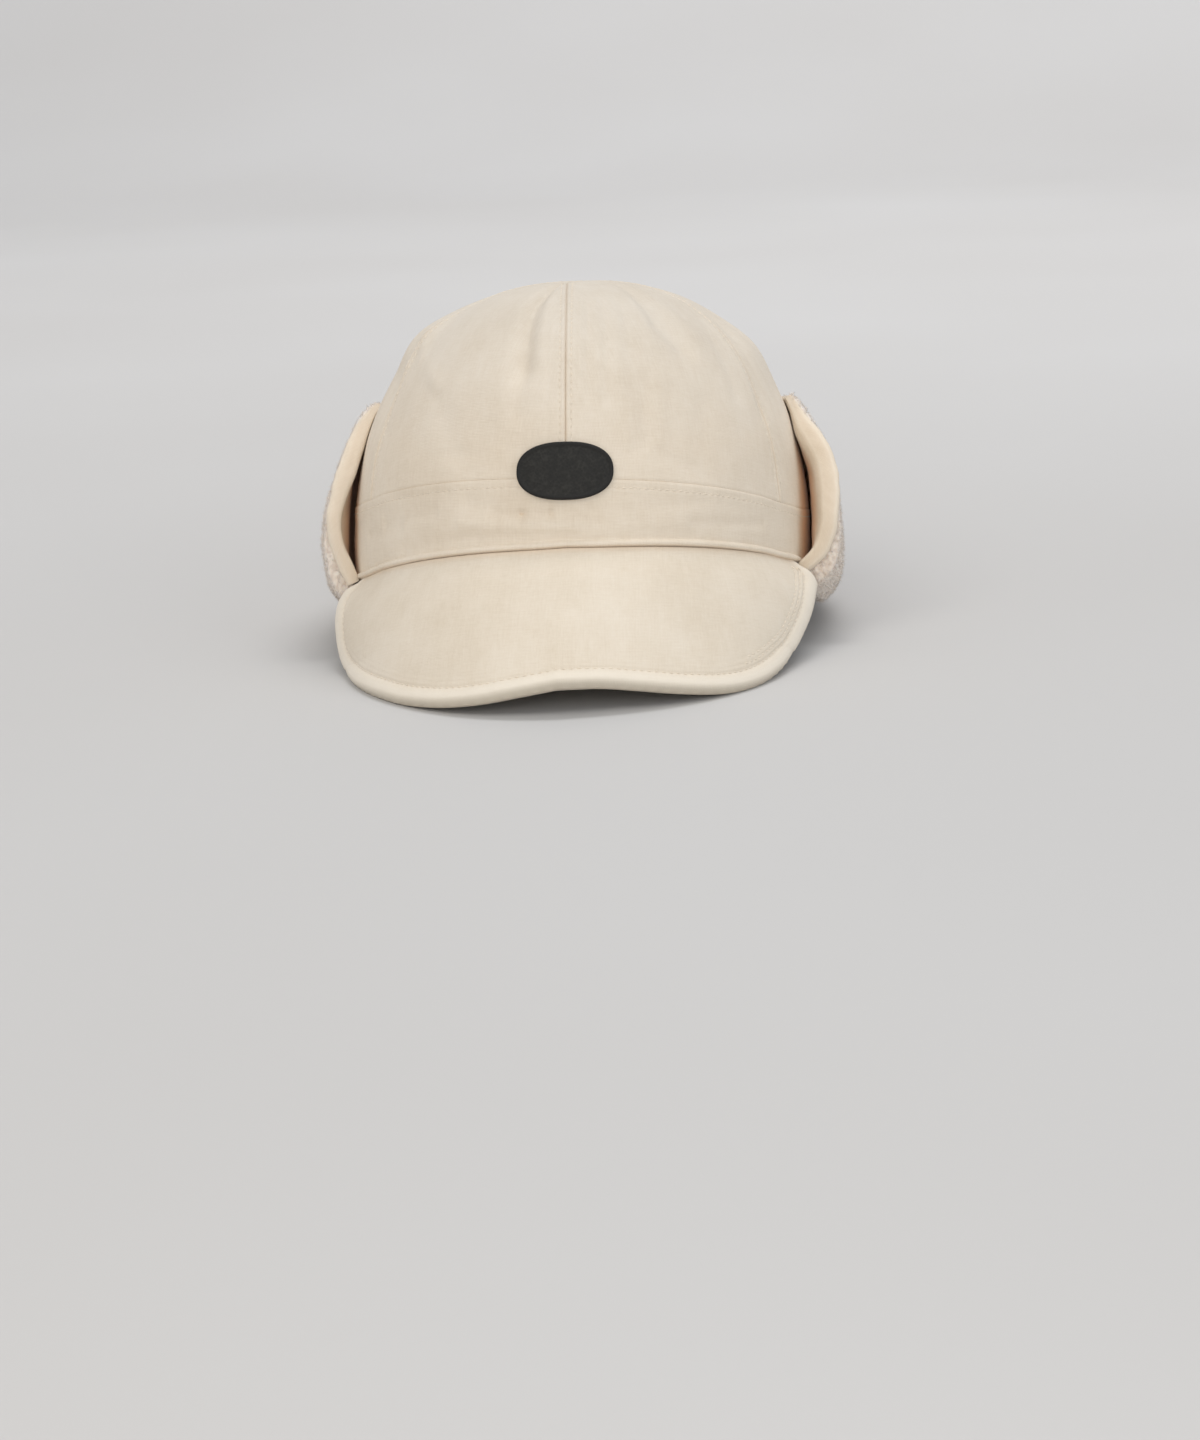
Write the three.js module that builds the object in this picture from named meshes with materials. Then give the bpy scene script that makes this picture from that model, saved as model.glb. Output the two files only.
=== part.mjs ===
// Earflap cap, standing on its peak and on the fold of its turned-up flap.
// Millimetres, +Z up. The peak looks along -Y, and the origin is on the ground under the middle of the cap's box.
//
// Every piece is worked out in the cap's own frame first (rim level, z = 0 at the ends of the peak's seam), from an
// angle `deg` round the rim (0 at the front, + towards +X) and a height z. The whole cap is then tipped back so that
// it stands on the peak's two corners and on the back of the flap.
import * as THREE from 'three';

// ---- driving sizes --------------------------------------------------------------------------------------------
const CROWN = { halfWidth: 87.2, front: 103, back: 104, height: 106 }; // outer half-axes of the rim, and the height
const ROUNDNESS = { front: 3.1, side: 2.37, back: 2.8 };            // exponents of the crown's upright profile
const LEAN = 2.2;            // the soft crown leans this far towards +X at its top
const WALL = 2.0;            // crown cloth, two layers and their seam allowance
const GAP = 0.3;             // between neighbouring pieces
const BAND_HEIGHT = 24.5;
const SKEW = { rim: 1.7, bandTop: -2.4, flapTop: -0.4 };   // sewn a little askew: higher (+) on the +X side
const FOLD_DROP = 5.6;       // the flap's fold sags below the rim on the +X side, behind the peak's end
const SEAM_ANGLES = [0, 60, 120, 180, 240, 300];                     // six panels
const SEAM_DRIFT = 3.6;      // degrees: the seams meet a little to the -X side of the crown's own middle
const PEAK = { halfAngle: 66.5, thick: 4.6, edgeRound: 6.5, rootThick: 3.4, crown: 2.2, turn: 3.9, flare: 8.4, flareLength: 36 };
const FLAP = { shell: 1.6, start: 0.5, pileStart: 0.008 };
const PATCH = { halfWidth: 18.8, halfHeight: 10.0, thick: 1.5, deg: -0.3, z: 40.3, squareness: 2.35 };
const TIP = { back: 6.450, side: 0.790 };   // degrees that the standing cap leans back, and towards +X
const SHIFT = { x: -0.440, y: 13.580, z: 25.080 };  // from the middle of the rim to the origin; the cloth is flattened at z = 0

// height of the crown's lower edge round the rim: high over the peak, lowest at the back
const RIM = [
  { deg: 0, z: 13.5 }, { deg: 20, z: 12.2 }, { deg: 35, z: 9.7 }, { deg: 50, z: 5.6 }, { deg: 62, z: 1.2 },
  { deg: 75, z: -2.2 }, { deg: 95, z: -4.4 }, { deg: 130, z: -5.6 }, { deg: 180, z: -6.0 },
];
// the turned-up flap round the rim: height of its top edge
const FLAP_RUN = [
  { deg: 64, top: 60.4 }, { deg: 78, top: 60.4 }, { deg: 92, top: 60.2 }, { deg: 112, top: 58.5 }, { deg: 145, top: 54 }, { deg: 180, top: 51.5 },
];
// how far each side stands off the crown at its widest: the free front edges curl outwards. `behind` is in degrees
// from the front edge
const FLAP_SIDE = [
  { behind: 0, left: 6.7, right: 9.6 }, { behind: 4, left: 5.9, right: 7.8 }, { behind: 9, left: 5.1, right: 5.9 },
  { behind: 16, left: 4.6, right: 4.4 }, { behind: 24, left: 4.3, right: 3.9 }, { behind: 45, left: 3.6, right: 3.4 },
  { behind: 80, left: 3.2, right: 3.2 }, { behind: 115, left: 3.0, right: 3.0 },
];
// how that distance is shared out up the flap, on each side
const FLAP_STAND = [
  { up: 0, left: 0, right: 0 }, { up: 0.1, left: 0.34, right: 0.64 }, { up: 0.22, left: 0.80, right: 0.96 },
  { up: 0.36, left: 0.92, right: 1 }, { up: 0.5, left: 0.62, right: 0.98 }, { up: 0.62, left: 0.27, right: 0.88 },
  { up: 0.74, left: 0.15, right: 0.56 }, { up: 0.86, left: 0.06, right: 0.24 }, { up: 1, left: 0.0, right: 0.06 },
];
// the flap's free front edge leans back as it rises: angle round the rim, and each side's share of the lip's thickness
const FLAP_FRONT = [
  { up: 0, deg: 67.5, left: 0.94, right: 0.94 }, { up: 0.15, deg: 67.9, left: 1.05, right: 1.15 },
  { up: 0.3, deg: 68.5, left: 1.15, right: 1.38 }, { up: 0.45, deg: 69.9, left: 1.28, right: 1.42 },
  { up: 0.6, deg: 72, left: 1.45, right: 1.35 }, { up: 0.75, deg: 75, left: 1.25, right: 1.15 },
  { up: 0.85, deg: 78.6, left: 0.95, right: 0.9 }, { up: 0.95, deg: 84.5, left: 0.5, right: 0.5 }, { up: 1, deg: 92, left: 0.15, right: 0.2 },
];
// the flap's cross-section from the seam upwards: share of its height, pile thickness, and the way the pile points
const FLAP_RISE = [
  { up: 0, pile: 7.0, out: -0.15, down: -0.99 }, { up: 0.03, pile: 9.7, out: 0.20, down: -0.98 },
  { up: 0.08, pile: 8.6, out: 0.70, down: -0.71 }, { up: 0.16, pile: 6.4, out: 0.93, down: -0.37 },
  { up: 0.28, pile: 4.9, out: 1, down: -0.1 }, { up: 0.42, pile: 4.2, out: 1, down: 0 },
  { up: 0.56, pile: 4.2, out: 1, down: 0.05 }, { up: 0.70, pile: 3.9, out: 1, down: 0.15 },
  { up: 0.84, pile: 3.1, out: 1, down: 0.2 }, { up: 0.95, pile: 2.0, out: 1, down: 0.25 }, { up: 1, pile: 1.1, out: 1, down: 0.3 },
];
// the peak from its middle to its ends: pitch below the rim plane, and heading away from straight ahead
const PEAK_FAN = [
  { at: 0, pitch: 49.6, heading: 0 }, { at: 0.35, pitch: 52.9, heading: 6.7 }, { at: 0.65, pitch: 57.9, heading: 21.6 },
  { at: 0.85, pitch: 63.6, heading: 32.6 }, { at: 1, pitch: 66.1, heading: 38.8 },
];
// how far the peak reaches from its seam, on its -X and +X halves
const PEAK_EDGE = [
  { at: 0, left: 56.3, right: 56.3 }, { at: 0.12, left: 57.8, right: 55.4 }, { at: 0.26, left: 59.5, right: 56.3 },
  { at: 0.38, left: 59.0, right: 57.0 }, { at: 0.5, left: 56.2, right: 56.2 }, { at: 0.6, left: 52.1, right: 53.0 },
  { at: 0.7, left: 47.3, right: 46.7 }, { at: 0.8, left: 41.3, right: 37.3 }, { at: 0.88, left: 33.6, right: 25.4 },
  { at: 0.95, left: 20.5, right: 14.4 }, { at: 1, left: 9.6, right: 9.6 },
];
// soft dents of the crown: a line from one place to another, its depth (+ in, - out) and half-width
const DENTS = [
  { deg0: -100, z0: 88, deg1: -62, z1: 84, depth: -3.1, width: 9.5 },    // a fuller shoulder on each side
  { deg0: 66, z0: 78, deg1: 100, z1: 81, depth: -1.8, width: 9.0 },
  { deg0: -15, z0: 101, deg1: -12.5, z1: 76, depth: 2.4, width: 5.0 },   // long fold beside the centre seam
  { deg0: 30, z0: 99, deg1: 34, z1: 83, depth: 1.3, width: 6.5 },        // fold on the other front panel
  { deg0: -66, z0: 74, deg1: -60, z1: 56, depth: 0.8, width: 7.0 },
  { deg0: 66, z0: 88, deg1: 60, z1: 60, depth: 0.9, width: 7.0 },
  { deg0: -24, z0: 29.5, deg1: 6, z1: 26.5, depth: 0.9, width: 3.2 },    // flat crease along the band
  { deg0: 150, z0: 90, deg1: 158, z1: 60, depth: 1.4, width: 8.0 },
  { deg0: 212, z0: 84, deg1: 205, z1: 56, depth: 1.2, width: 8.0 },
];

// ---- helpers --------------------------------------------------------------------------------------------------
const rad = d => d * Math.PI / 180;
const clamp = (x, a, b) => Math.min(b, Math.max(a, x));
const fold180 = deg => { const d = ((deg % 360) + 540) % 360 - 180; return Math.abs(d); };
const signed180 = deg => ((deg % 360) + 540) % 360 - 180;

// smooth curve through a table's rows (cubic, slopes from the neighbouring rows)
function look(table, key, column, x) {
  const n = table.length;
  x = clamp(x, table[0][key], table[n - 1][key]);
  let i = 0;
  while (i < n - 2 && x > table[i + 1][key]) i++;
  const slope = k => {
    const a = Math.max(0, k - 1), b = Math.min(n - 1, k + 1);
    return (table[b][column] - table[a][column]) / (table[b][key] - table[a][key]);
  };
  const h = table[i + 1][key] - table[i][key], t = (x - table[i][key]) / h, t2 = t * t, t3 = t2 * t;
  return (2 * t3 - 3 * t2 + 1) * table[i][column] + (t3 - 2 * t2 + t) * h * slope(i)
    + (3 * t2 - 2 * t3) * table[i + 1][column] + (t3 - t2) * h * slope(i + 1);
}

// from the cap's frame to the ground frame; what rests on the ground is flattened by it
const BACK = { s: Math.sin(rad(TIP.back)), c: Math.cos(rad(TIP.back)) }, SIDE = { s: Math.sin(rad(TIP.side)), c: Math.cos(rad(TIP.side)) };
function stand([x, y, z], flatten = false) {
  const Y = y * BACK.c + z * BACK.s, z1 = -y * BACK.s + z * BACK.c;
  const X = x * SIDE.c + z1 * SIDE.s, Z = -x * SIDE.s + z1 * SIDE.c + SHIFT.z;
  return [X + SHIFT.x, Y + SHIFT.y, flatten ? Math.max(0, Z) : Z];
}

// ---- crown ----------------------------------------------------------------------------------------------------
const profileExponent = deg => {
  const c = Math.cos(rad(deg));
  return ROUNDNESS.side + ((c > 0 ? ROUNDNESS.front : ROUNDNESS.back) - ROUNDNESS.side) * c * c;
};
const rimDepth = deg => CROWN.front + (CROWN.back - CROWN.front) * (1 - Math.cos(rad(deg))) / 2;

function dentAt(deg, z) {
  let sum = 0;
  for (const d of DENTS) {
    const k = 1.7;                                         // about 1.7 mm of cloth to a degree near the rim
    const ax = signed180(deg - d.deg0) * k, ay = z - d.z0, bx = (d.deg1 - d.deg0) * k, by = d.z1 - d.z0;
    const t = clamp((ax * bx + ay * by) / (bx * bx + by * by), 0, 1);
    const dist2 = (ax - bx * t) ** 2 + (ay - by * t) ** 2;
    sum += d.depth * Math.exp(-dist2 / (d.width * d.width));
  }
  return sum;
}
// the crown's outer surface without its dents; below z = 0 the wall goes straight down
function crownBase(deg, z) {
  const n = profileExponent(deg), up = clamp(z / CROWN.height, 0, 1), q = (1 - up ** n) ** (1 / n);
  return [CROWN.halfWidth * q * Math.sin(rad(deg)) + LEAN * up * up, -rimDepth(deg) * q * Math.cos(rad(deg)), z];
}
function crownNormal(deg, z) {
  const e = 0.05, zz = Math.min(z, CROWN.height - 0.6);
  const a = crownBase(deg - 0.5, zz), b = crownBase(deg + 0.5, zz), c = crownBase(deg, zz - e), d = crownBase(deg, zz + e);
  const u = new THREE.Vector3(b[0] - a[0], b[1] - a[1], b[2] - a[2]);
  const v = new THREE.Vector3(d[0] - c[0], d[1] - c[1], d[2] - c[2]);
  const n = profileExponent(deg), q = (1 - clamp(z / CROWN.height, 0, 1) ** n) ** (1 / n), flat = clamp(1 - q / 0.3, 0, 1);
  return u.cross(v).normalize().lerp(new THREE.Vector3(0, 0, 1), flat).normalize();   // upright at the very top
}
// a point `off` mm outside the crown's outer surface
function crownPoint(deg, z, off = 0) {
  const p = crownBase(deg, z), n = crownNormal(deg, z), k = off - dentAt(deg, z);
  return [p[0] + n.x * k, p[1] + n.y * k, p[2] + n.z * k];
}
// a seam's own angle, moved round to where it lies at that height
function drift(deg, z) {
  const n = profileExponent(deg), q = (1 - clamp(z / CROWN.height, 0, 1) ** n) ** (1 / n);
  return deg - SEAM_DRIFT * Math.cos(rad(deg)) * Math.min(2.2, (1 - q) / Math.max(q, 0.01));
}
const rimLevel = deg => look(RIM, 'deg', 'z', fold180(deg));
function rimHeight(deg) {
  const s = Math.sin(rad(deg)), t = clamp((fold180(deg) - 66.5) / 15, 0, 1);
  return rimLevel(deg) + SKEW.rim * s - (s > 0 ? FOLD_DROP * s * s * t * t * (3 - 2 * t) : 0);
}
const bandTop = deg => rimLevel(deg) + BAND_HEIGHT + SKEW.bandTop * Math.sin(rad(deg));

// ---- closed shells --------------------------------------------------------------------------------------------
// a closed solid from two matching grids of points, outside[i][j] and inside[i][j], seen from outside with i to the
// right and j up
function shell(outside, inside) {
  const ni = outside.length, nj = outside[0].length, position = [], index = [];
  for (const grid of [outside, inside]) for (const line of grid) for (const p of line) position.push(...p);
  const O = (i, j) => i * nj + j, I = (i, j) => ni * nj + i * nj + j;
  const quad = (a, b, c, d) => index.push(a, b, c, a, c, d);
  for (let i = 0; i < ni - 1; i++) for (let j = 0; j < nj - 1; j++) {
    quad(O(i, j), O(i + 1, j), O(i + 1, j + 1), O(i, j + 1));
    quad(I(i, j), I(i, j + 1), I(i + 1, j + 1), I(i + 1, j));
  }
  for (let i = 0; i < ni - 1; i++) {
    quad(I(i, 0), I(i + 1, 0), O(i + 1, 0), O(i, 0));
    quad(O(i, nj - 1), O(i + 1, nj - 1), I(i + 1, nj - 1), I(i, nj - 1));
  }
  for (let j = 0; j < nj - 1; j++) {
    quad(O(0, j), O(0, j + 1), I(0, j + 1), I(0, j));
    quad(I(ni - 1, j), I(ni - 1, j + 1), O(ni - 1, j + 1), O(ni - 1, j));
  }
  const g = new THREE.BufferGeometry();
  g.setAttribute('position', new THREE.Float32BufferAttribute(position, 3));
  g.setIndex(index);
  g.computeVertexNormals();
  return g;
}
// a closed ring solid from a closed run of cross-sections, each a closed loop of points
function ring(loops) {
  const n = loops.length, m = loops[0].length, position = [], index = [];
  for (const l of loops) for (const p of l) position.push(...p);
  for (let i = 0; i < n; i++) for (let j = 0; j < m; j++) {
    const a = i * m + j, b = ((i + 1) % n) * m + j, c = ((i + 1) % n) * m + (j + 1) % m, d = i * m + (j + 1) % m;
    index.push(a, b, c, a, c, d);
  }
  const g = new THREE.BufferGeometry();
  g.setAttribute('position', new THREE.Float32BufferAttribute(position, 3));
  g.setIndex(index);
  g.computeVertexNormals();
  return g;
}
const range = (a, b, n) => Array.from({ length: n + 1 }, (_, i) => a + (b - a) * i / n);

// ---- the six panels -------------------------------------------------------------------------------------------
const PANEL = { across: 9, up: 12, seamHalfGap: 0.18, tip: 0.014 };
function panel(fromDeg, toDeg) {
  const make = off => range(0, 1, PANEL.across).map(s => range(0, 1, PANEL.up).map(t => {
    const mid = fromDeg + (toDeg - fromDeg) * s, low = bandTop(mid) + GAP / 2;
    const n = profileExponent(mid), a0 = Math.asin((low / CROWN.height) ** (n / 2));
    const a1 = Math.acos(PANEL.tip ** (n / 2)), a = a0 + (a1 - a0) * t;
    const z = CROWN.height * Math.sin(a) ** (2 / n);
    // the sides stay half a seam's gap from the seam all the way up
    const radius = Math.max(1.2, Math.cos(a) ** (2 / n) * 94 + off * (1 - t));
    const trim = PANEL.seamHalfGap / radius * 180 / Math.PI;
    const deg = (fromDeg + trim) + (toDeg - fromDeg - 2 * trim) * s;
    return stand(crownPoint(drift(deg, z), z, off));
  }));
  return shell(make(0), make(-WALL));
}

// ---- the band -------------------------------------------------------------------------------------------------
const BAND = { stations: 60, rows: 3 };
function band() {
  const loops = range(0, 360, BAND.stations).slice(0, -1).map(deg => {
    const low = rimHeight(deg) + GAP / 2, high = bandTop(deg) - GAP / 2;
    const out = range(low, high, BAND.rows).map(z => stand(crownPoint(deg, z, 0)));
    const inn = range(high, low, BAND.rows).map(z => stand(crownPoint(deg, z, -WALL)));
    return [...out, ...inn];
  });
  return ring(loops);
}

// ---- the peak -------------------------------------------------------------------------------------------------
// flat pattern: `at` runs along the seam from -1 to 1 and w is the distance from the seam
const SEAM_HALF_LENGTH = 112;
const peakLength = at => look(PEAK_EDGE, 'at', at < 0 ? 'left' : 'right', Math.abs(at));
function peakMid(at, w) {
  const deg = PEAK.halfAngle * at, p = crownBase(deg, rimHeight(deg)), a = Math.abs(at), sign = Math.sign(at);
  const pitch = rad(look(PEAK_FAN, 'at', 'pitch', a)), heading = rad(look(PEAK_FAN, 'at', 'heading', a) * sign - PEAK.turn);
  const dir = [Math.sin(heading) * Math.cos(pitch), -Math.cos(heading) * Math.cos(pitch), -Math.sin(pitch)];
  const up = [Math.sin(heading) * Math.sin(pitch), -Math.cos(heading) * Math.sin(pitch), Math.cos(pitch)];
  const L = peakLength(at), rise = PEAK.crown * 4 * (w / L) * (1 - w / L) - PEAK.rootThick * 0.62;
  const side = [Math.cos(heading) * sign, Math.sin(heading) * sign, 0];    // the ends flare out below the seam
  const flare = PEAK.flare * a ** 5 * Math.sin(Math.PI * clamp(w / PEAK.flareLength, 0, 1)) ** 0.8;
  return [0, 1, 2].map(k => p[k] + dir[k] * (w + 0.75) + up[k] * rise + side[k] * flare);
}
const peakOutline = [
  ...range(-1, 1, 240).map(c => Math.sin(c * Math.PI / 2)).map(at => [at * SEAM_HALF_LENGTH, peakLength(at)]),
  ...range(0, peakLength(-1), 24).map(w => [-SEAM_HALF_LENGTH, w]), ...range(0, peakLength(1), 24).map(w => [SEAM_HALF_LENGTH, w]),
];
function edgeDistance(at, w) {
  let best = Infinity;
  for (const [x, y] of peakOutline) best = Math.min(best, Math.hypot(x - at * SEAM_HALF_LENGTH, y - w));
  return best;
}
function peak() {
  const rows = [0, 0.1, 0.24, 0.42, 0.6, 0.76, 0.88, 0.95, 0.985, 1];
  const face = side => range(-1, 1, 42).map(c => {
    const at = Math.sin(c * Math.PI / 2), L = peakLength(at);
    return rows.map(v => {
      const w = v * L, e = edgeDistance(at, w), r = clamp(e / 2.6, 0, 1);
      const full = PEAK.rootThick + (PEAK.thick - PEAK.rootThick) * clamp(w / 12, 0, 1);
      const half = Math.max(0.35, full / 2 * Math.sqrt(1 - (1 - r) ** 2));
      const m = peakMid(at, w), h = 0.4;
      const a1 = peakMid(Math.min(1, at + 0.01), w), a0 = peakMid(Math.max(-1, at - 0.01), w), w1 = peakMid(at, w + h), w0 = peakMid(at, w - h);
      const u = new THREE.Vector3(a1[0] - a0[0], a1[1] - a0[1], a1[2] - a0[2]);
      const t = new THREE.Vector3(w1[0] - w0[0], w1[1] - w0[1], w1[2] - w0[2]);
      const n = t.cross(u).normalize();
      return stand([m[0] + n.x * half * side, m[1] + n.y * half * side, m[2] + n.z * half * side], true);
    });
  });
  // seen from above with `at` to the right, the distance from the seam runs down
  const flip = g => g.map(line => [...line].reverse());
  return shell(flip(face(1)), flip(face(-1)));
}

// ---- the flap -------------------------------------------------------------------------------------------------
function standOff(up, deg) {
  const t = clamp(up, 0, 1), right = clamp(0.5 + 0.55 * Math.sin(rad(deg)), 0, 1);
  const behind = fold180(deg) - look(FLAP_FRONT, 'up', 'deg', t);
  const l = look(FLAP_SIDE, 'behind', 'left', behind) * look(FLAP_STAND, 'up', 'left', t);
  const r = look(FLAP_SIDE, 'behind', 'right', behind) * look(FLAP_STAND, 'up', 'right', t);
  return FLAP.start + l * (1 - right) + r * right;
}
const lipShare = (u, up) => look(FLAP_FRONT, 'up', u < 0.5 ? 'right' : 'left', up);
// a point of the flap: u runs along it (0 and 1 at its two free front edges), up from its seam to its top edge, and
// off is measured from the face that looks at the crown
function flapPoint(u, up, off, way) {
  const front = look(FLAP_FRONT, 'up', 'deg', up), deg = front + (360 - 2 * front) * u, d = fold180(deg);
  const low = rimHeight(deg), top = look(FLAP_RUN, 'deg', 'top', d) + SKEW.flapTop * Math.sin(rad(deg));
  const z = low + (top - low) * up, r = standOff(up, deg);
  const base = crownBase(deg, z), n = crownNormal(deg, Math.max(0, z));
  const side = new THREE.Vector3(n.x, n.y, 0).normalize();
  const h = 0.004, dr = standOff(up + h, deg) - standOff(Math.max(0, up - h), deg);
  const lean = Math.hypot(n.x, n.y), zUp = (top - low) * (up > 0 && up < 1 ? 2 * h : h);
  // the section's own outward direction, then the pile's direction where the fold turns under
  let out = lean * zUp, down = -dr + zUp * n.z;
  if (way) { out = way.out; down = way.down; }
  const k = Math.hypot(out, down);
  out /= k; down /= k;
  return [
    base[0] + side.x * (r * lean + out * off), base[1] + side.y * (r * lean + out * off),
    base[2] + r * n.z + down * off,
  ];
}
const FLAP_STATIONS = 36;
// stations along the flap, closer together near its two front edges
const along = (a, b, n) => range(0, 1, n).map(t => a + (b - a) * (t - 0.35 * Math.sin(2 * Math.PI * t) / (2 * Math.PI)));
// the cotton is turned over the pile along the two free front edges, as a lip
const LIP = [{ u: 0, off: 3.9 }, { u: 0.0028, off: 5.0 }, { u: 0.0068, off: 5.0 }, { u: 0.0072, off: 1.6 }];
function flapShell() {
  const ups = FLAP_RISE.map(r => r.up);
  const stations = [...LIP, ...along(0.022, 0.978, FLAP_STATIONS - 2).map(u => ({ u, off: FLAP.shell })),
    ...[...LIP].reverse().map(l => ({ u: 1 - l.u, off: l.off }))];
  const thick = (off, u, up) => FLAP.shell + (off - FLAP.shell) * (off > FLAP.shell ? lipShare(u, up) : 1);
  const face = outer => stations.map(({ u, off }) => ups.map(up => stand(flapPoint(u, up, outer ? thick(off, u, up) : 0))));
  return shell(face(true), face(false));
}
function flapFleece() {
  const inner = FLAP.shell + GAP;
  const line = (u, outer) => {
    const front = look(FLAP_FRONT, 'up', 'deg', 0), deg = front + (360 - 2 * front) * u, low = rimHeight(deg);
    const n = crownNormal(deg, 0);
    const tuck = (r, z) => { const b = crownBase(deg, low + z); return stand([b[0] + n.x * r, b[1] + n.y * r, b[2]], true); };
    const under = outer ? [tuck(-2.6, -2.4), tuck(-1.6, -6.6)] : [tuck(-2.0, -0.4), tuck(-0.4, -2.1)];
    return [...under, ...FLAP_RISE.map(row => {
      if (!outer) return stand(flapPoint(u, row.up, inner), true);
      const foot = flapPoint(u, row.up, inner), tip = flapPoint(u, row.up, inner + row.pile, row.up < 0.25 ? row : null);
      const base = row.up < 0.25 ? flapPoint(u, row.up, inner, row) : foot;
      return stand([0, 1, 2].map(k => foot[k] + tip[k] - base[k]), true);
    })];
  };
  const face = outer => along(FLAP.pileStart, 1 - FLAP.pileStart, FLAP_STATIONS).map(u => line(u, outer));
  return shell(face(true), face(false));
}

// ---- the patch ------------------------------------------------------------------------------------------------
function patch() {
  const k = 1 / (Math.PI / 180 * 96), sides = 28;
  const spot = (a, s, off) => {
    const c = Math.cos(a), d = Math.sin(a), e = 2 / PATCH.squareness;
    const x = PATCH.halfWidth * s * Math.sign(c) * Math.abs(c) ** e, y = PATCH.halfHeight * s * Math.sign(d) * Math.abs(d) ** e;
    return stand(crownPoint(PATCH.deg + x * k, PATCH.z + y, off));
  };
  const levels = [
    { s: 0.5, off: GAP }, { s: 1, off: GAP }, { s: 1, off: GAP + PATCH.thick * 0.7 }, { s: 0.95, off: GAP + PATCH.thick },
    { s: 0.5, off: GAP + PATCH.thick },
  ];
  const position = [], index = [], low = [], n = levels.length;
  for (const l of levels) for (let i = 0; i < sides; i++) position.push(...spot(i / sides * 2 * Math.PI, l.s, l.off));
  position.push(...spot(0, 0, GAP), ...spot(0, 0, GAP + PATCH.thick));
  for (let i = 0; i < sides; i++) {
    const j = (i + 1) % sides;
    for (let k2 = 0; k2 < n - 1; k2++) {
      const a = k2 * sides + i, b = k2 * sides + j, c = (k2 + 1) * sides + j, d = (k2 + 1) * sides + i;
      index.push(a, b, c, a, c, d);
    }
    index.push(n * sides, j, i, n * sides + 1, (n - 1) * sides + i, (n - 1) * sides + j);
  }
  const g = new THREE.BufferGeometry();
  g.setAttribute('position', new THREE.Float32BufferAttribute(position, 3));
  g.setIndex(index);
  g.computeVertexNormals();
  return g;
}

// ---- assembly -------------------------------------------------------------------------------------------------
const cotton = new THREE.MeshStandardMaterial({ color: 0xe4d8c6, roughness: 0.95, metalness: 0 });
const cottonPeak = new THREE.MeshStandardMaterial({ color: 0xeaddca, roughness: 0.95, metalness: 0 });
const fleece = new THREE.MeshStandardMaterial({ color: 0xd8cac4, roughness: 1, metalness: 0 });
const leather = new THREE.MeshStandardMaterial({ color: 0x30302c, roughness: 0.7, metalness: 0 });

const cap = new THREE.Group();
function add(name, geometry, material) {
  const mesh = new THREE.Mesh(geometry, material);
  mesh.name = name;
  cap.add(mesh);
}
const panelNames = ['crown_front_right', 'crown_side_right', 'crown_back_right', 'crown_back_left', 'crown_side_left', 'crown_front_left'];
SEAM_ANGLES.forEach((deg, i) => add(panelNames[i], panel(deg, deg + 60), cotton));
add('crown_band', band(), cotton);
add('peak', peak(), cottonPeak);
add('flap_shell', flapShell(), cotton);
add('flap_fleece', flapFleece(), fleece);
add('patch', patch(), leather);

export default cap;
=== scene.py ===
import math

import bpy
import numpy as np
from mathutils import Matrix, Vector


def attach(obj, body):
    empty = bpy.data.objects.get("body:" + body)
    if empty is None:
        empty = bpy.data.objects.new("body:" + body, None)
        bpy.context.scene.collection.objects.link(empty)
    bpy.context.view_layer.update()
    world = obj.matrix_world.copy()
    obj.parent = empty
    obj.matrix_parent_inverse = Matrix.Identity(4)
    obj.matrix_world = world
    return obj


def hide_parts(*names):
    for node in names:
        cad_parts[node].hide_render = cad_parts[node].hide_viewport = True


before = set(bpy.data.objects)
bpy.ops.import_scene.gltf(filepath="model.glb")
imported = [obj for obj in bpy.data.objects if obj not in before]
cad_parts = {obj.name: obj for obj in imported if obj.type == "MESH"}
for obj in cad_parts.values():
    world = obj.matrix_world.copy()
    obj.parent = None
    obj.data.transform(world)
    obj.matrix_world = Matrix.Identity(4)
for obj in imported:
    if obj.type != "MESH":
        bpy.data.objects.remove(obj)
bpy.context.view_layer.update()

# ==== sizes in millimetres, as the frame has them ================================================================
# Every piece is worked out in the cap's own frame first (rim level, z = 0 at the ends of the peak's seam), from an
# angle deg round the rim (0 at the front, + towards +X) and a height z, and is then stood on the ground by stand().
CROWN = {"half_width": 87.2, "front": 103.0, "back": 104.0, "height": 106.0}
ROUNDNESS = {"front": 3.1, "side": 2.37, "back": 2.8}
LEAN = 2.2
WALL = 2.0
GAP = 0.3
BAND_HEIGHT = 24.5
SKEW = {"rim": 1.7, "band_top": -2.4, "flap_top": -0.4}
FOLD_DROP = 5.6
SEAM_DRIFT = 3.6
PEAK = {"half_angle": 66.5, "thick": 4.6, "root_thick": 3.4, "crown": 2.2, "turn": 3.9, "flare": 8.4, "flare_length": 36.0}
FLAP = {"shell": 1.6, "start": 0.5, "pile_start": 0.008}
PATCH = {"half_width": 18.8, "half_height": 10.0, "thick": 1.5, "deg": -0.3, "z": 40.3, "squareness": 2.35}
TIP = {"back": 6.450, "side": 0.790}
SHIFT = {"x": -0.440, "y": 13.580, "z": 25.080}

# deg, z: height of the crown's lower edge round the rim
RIM = [(0, 13.5), (20, 12.2), (35, 9.7), (50, 5.6), (62, 1.2), (75, -2.2), (95, -4.4), (130, -5.6), (180, -6.0)]
# deg, top: the flap's top edge
FLAP_RUN = [(64, 60.4), (78, 60.4), (92, 60.2), (112, 58.5), (145, 54), (180, 51.5)]
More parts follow.
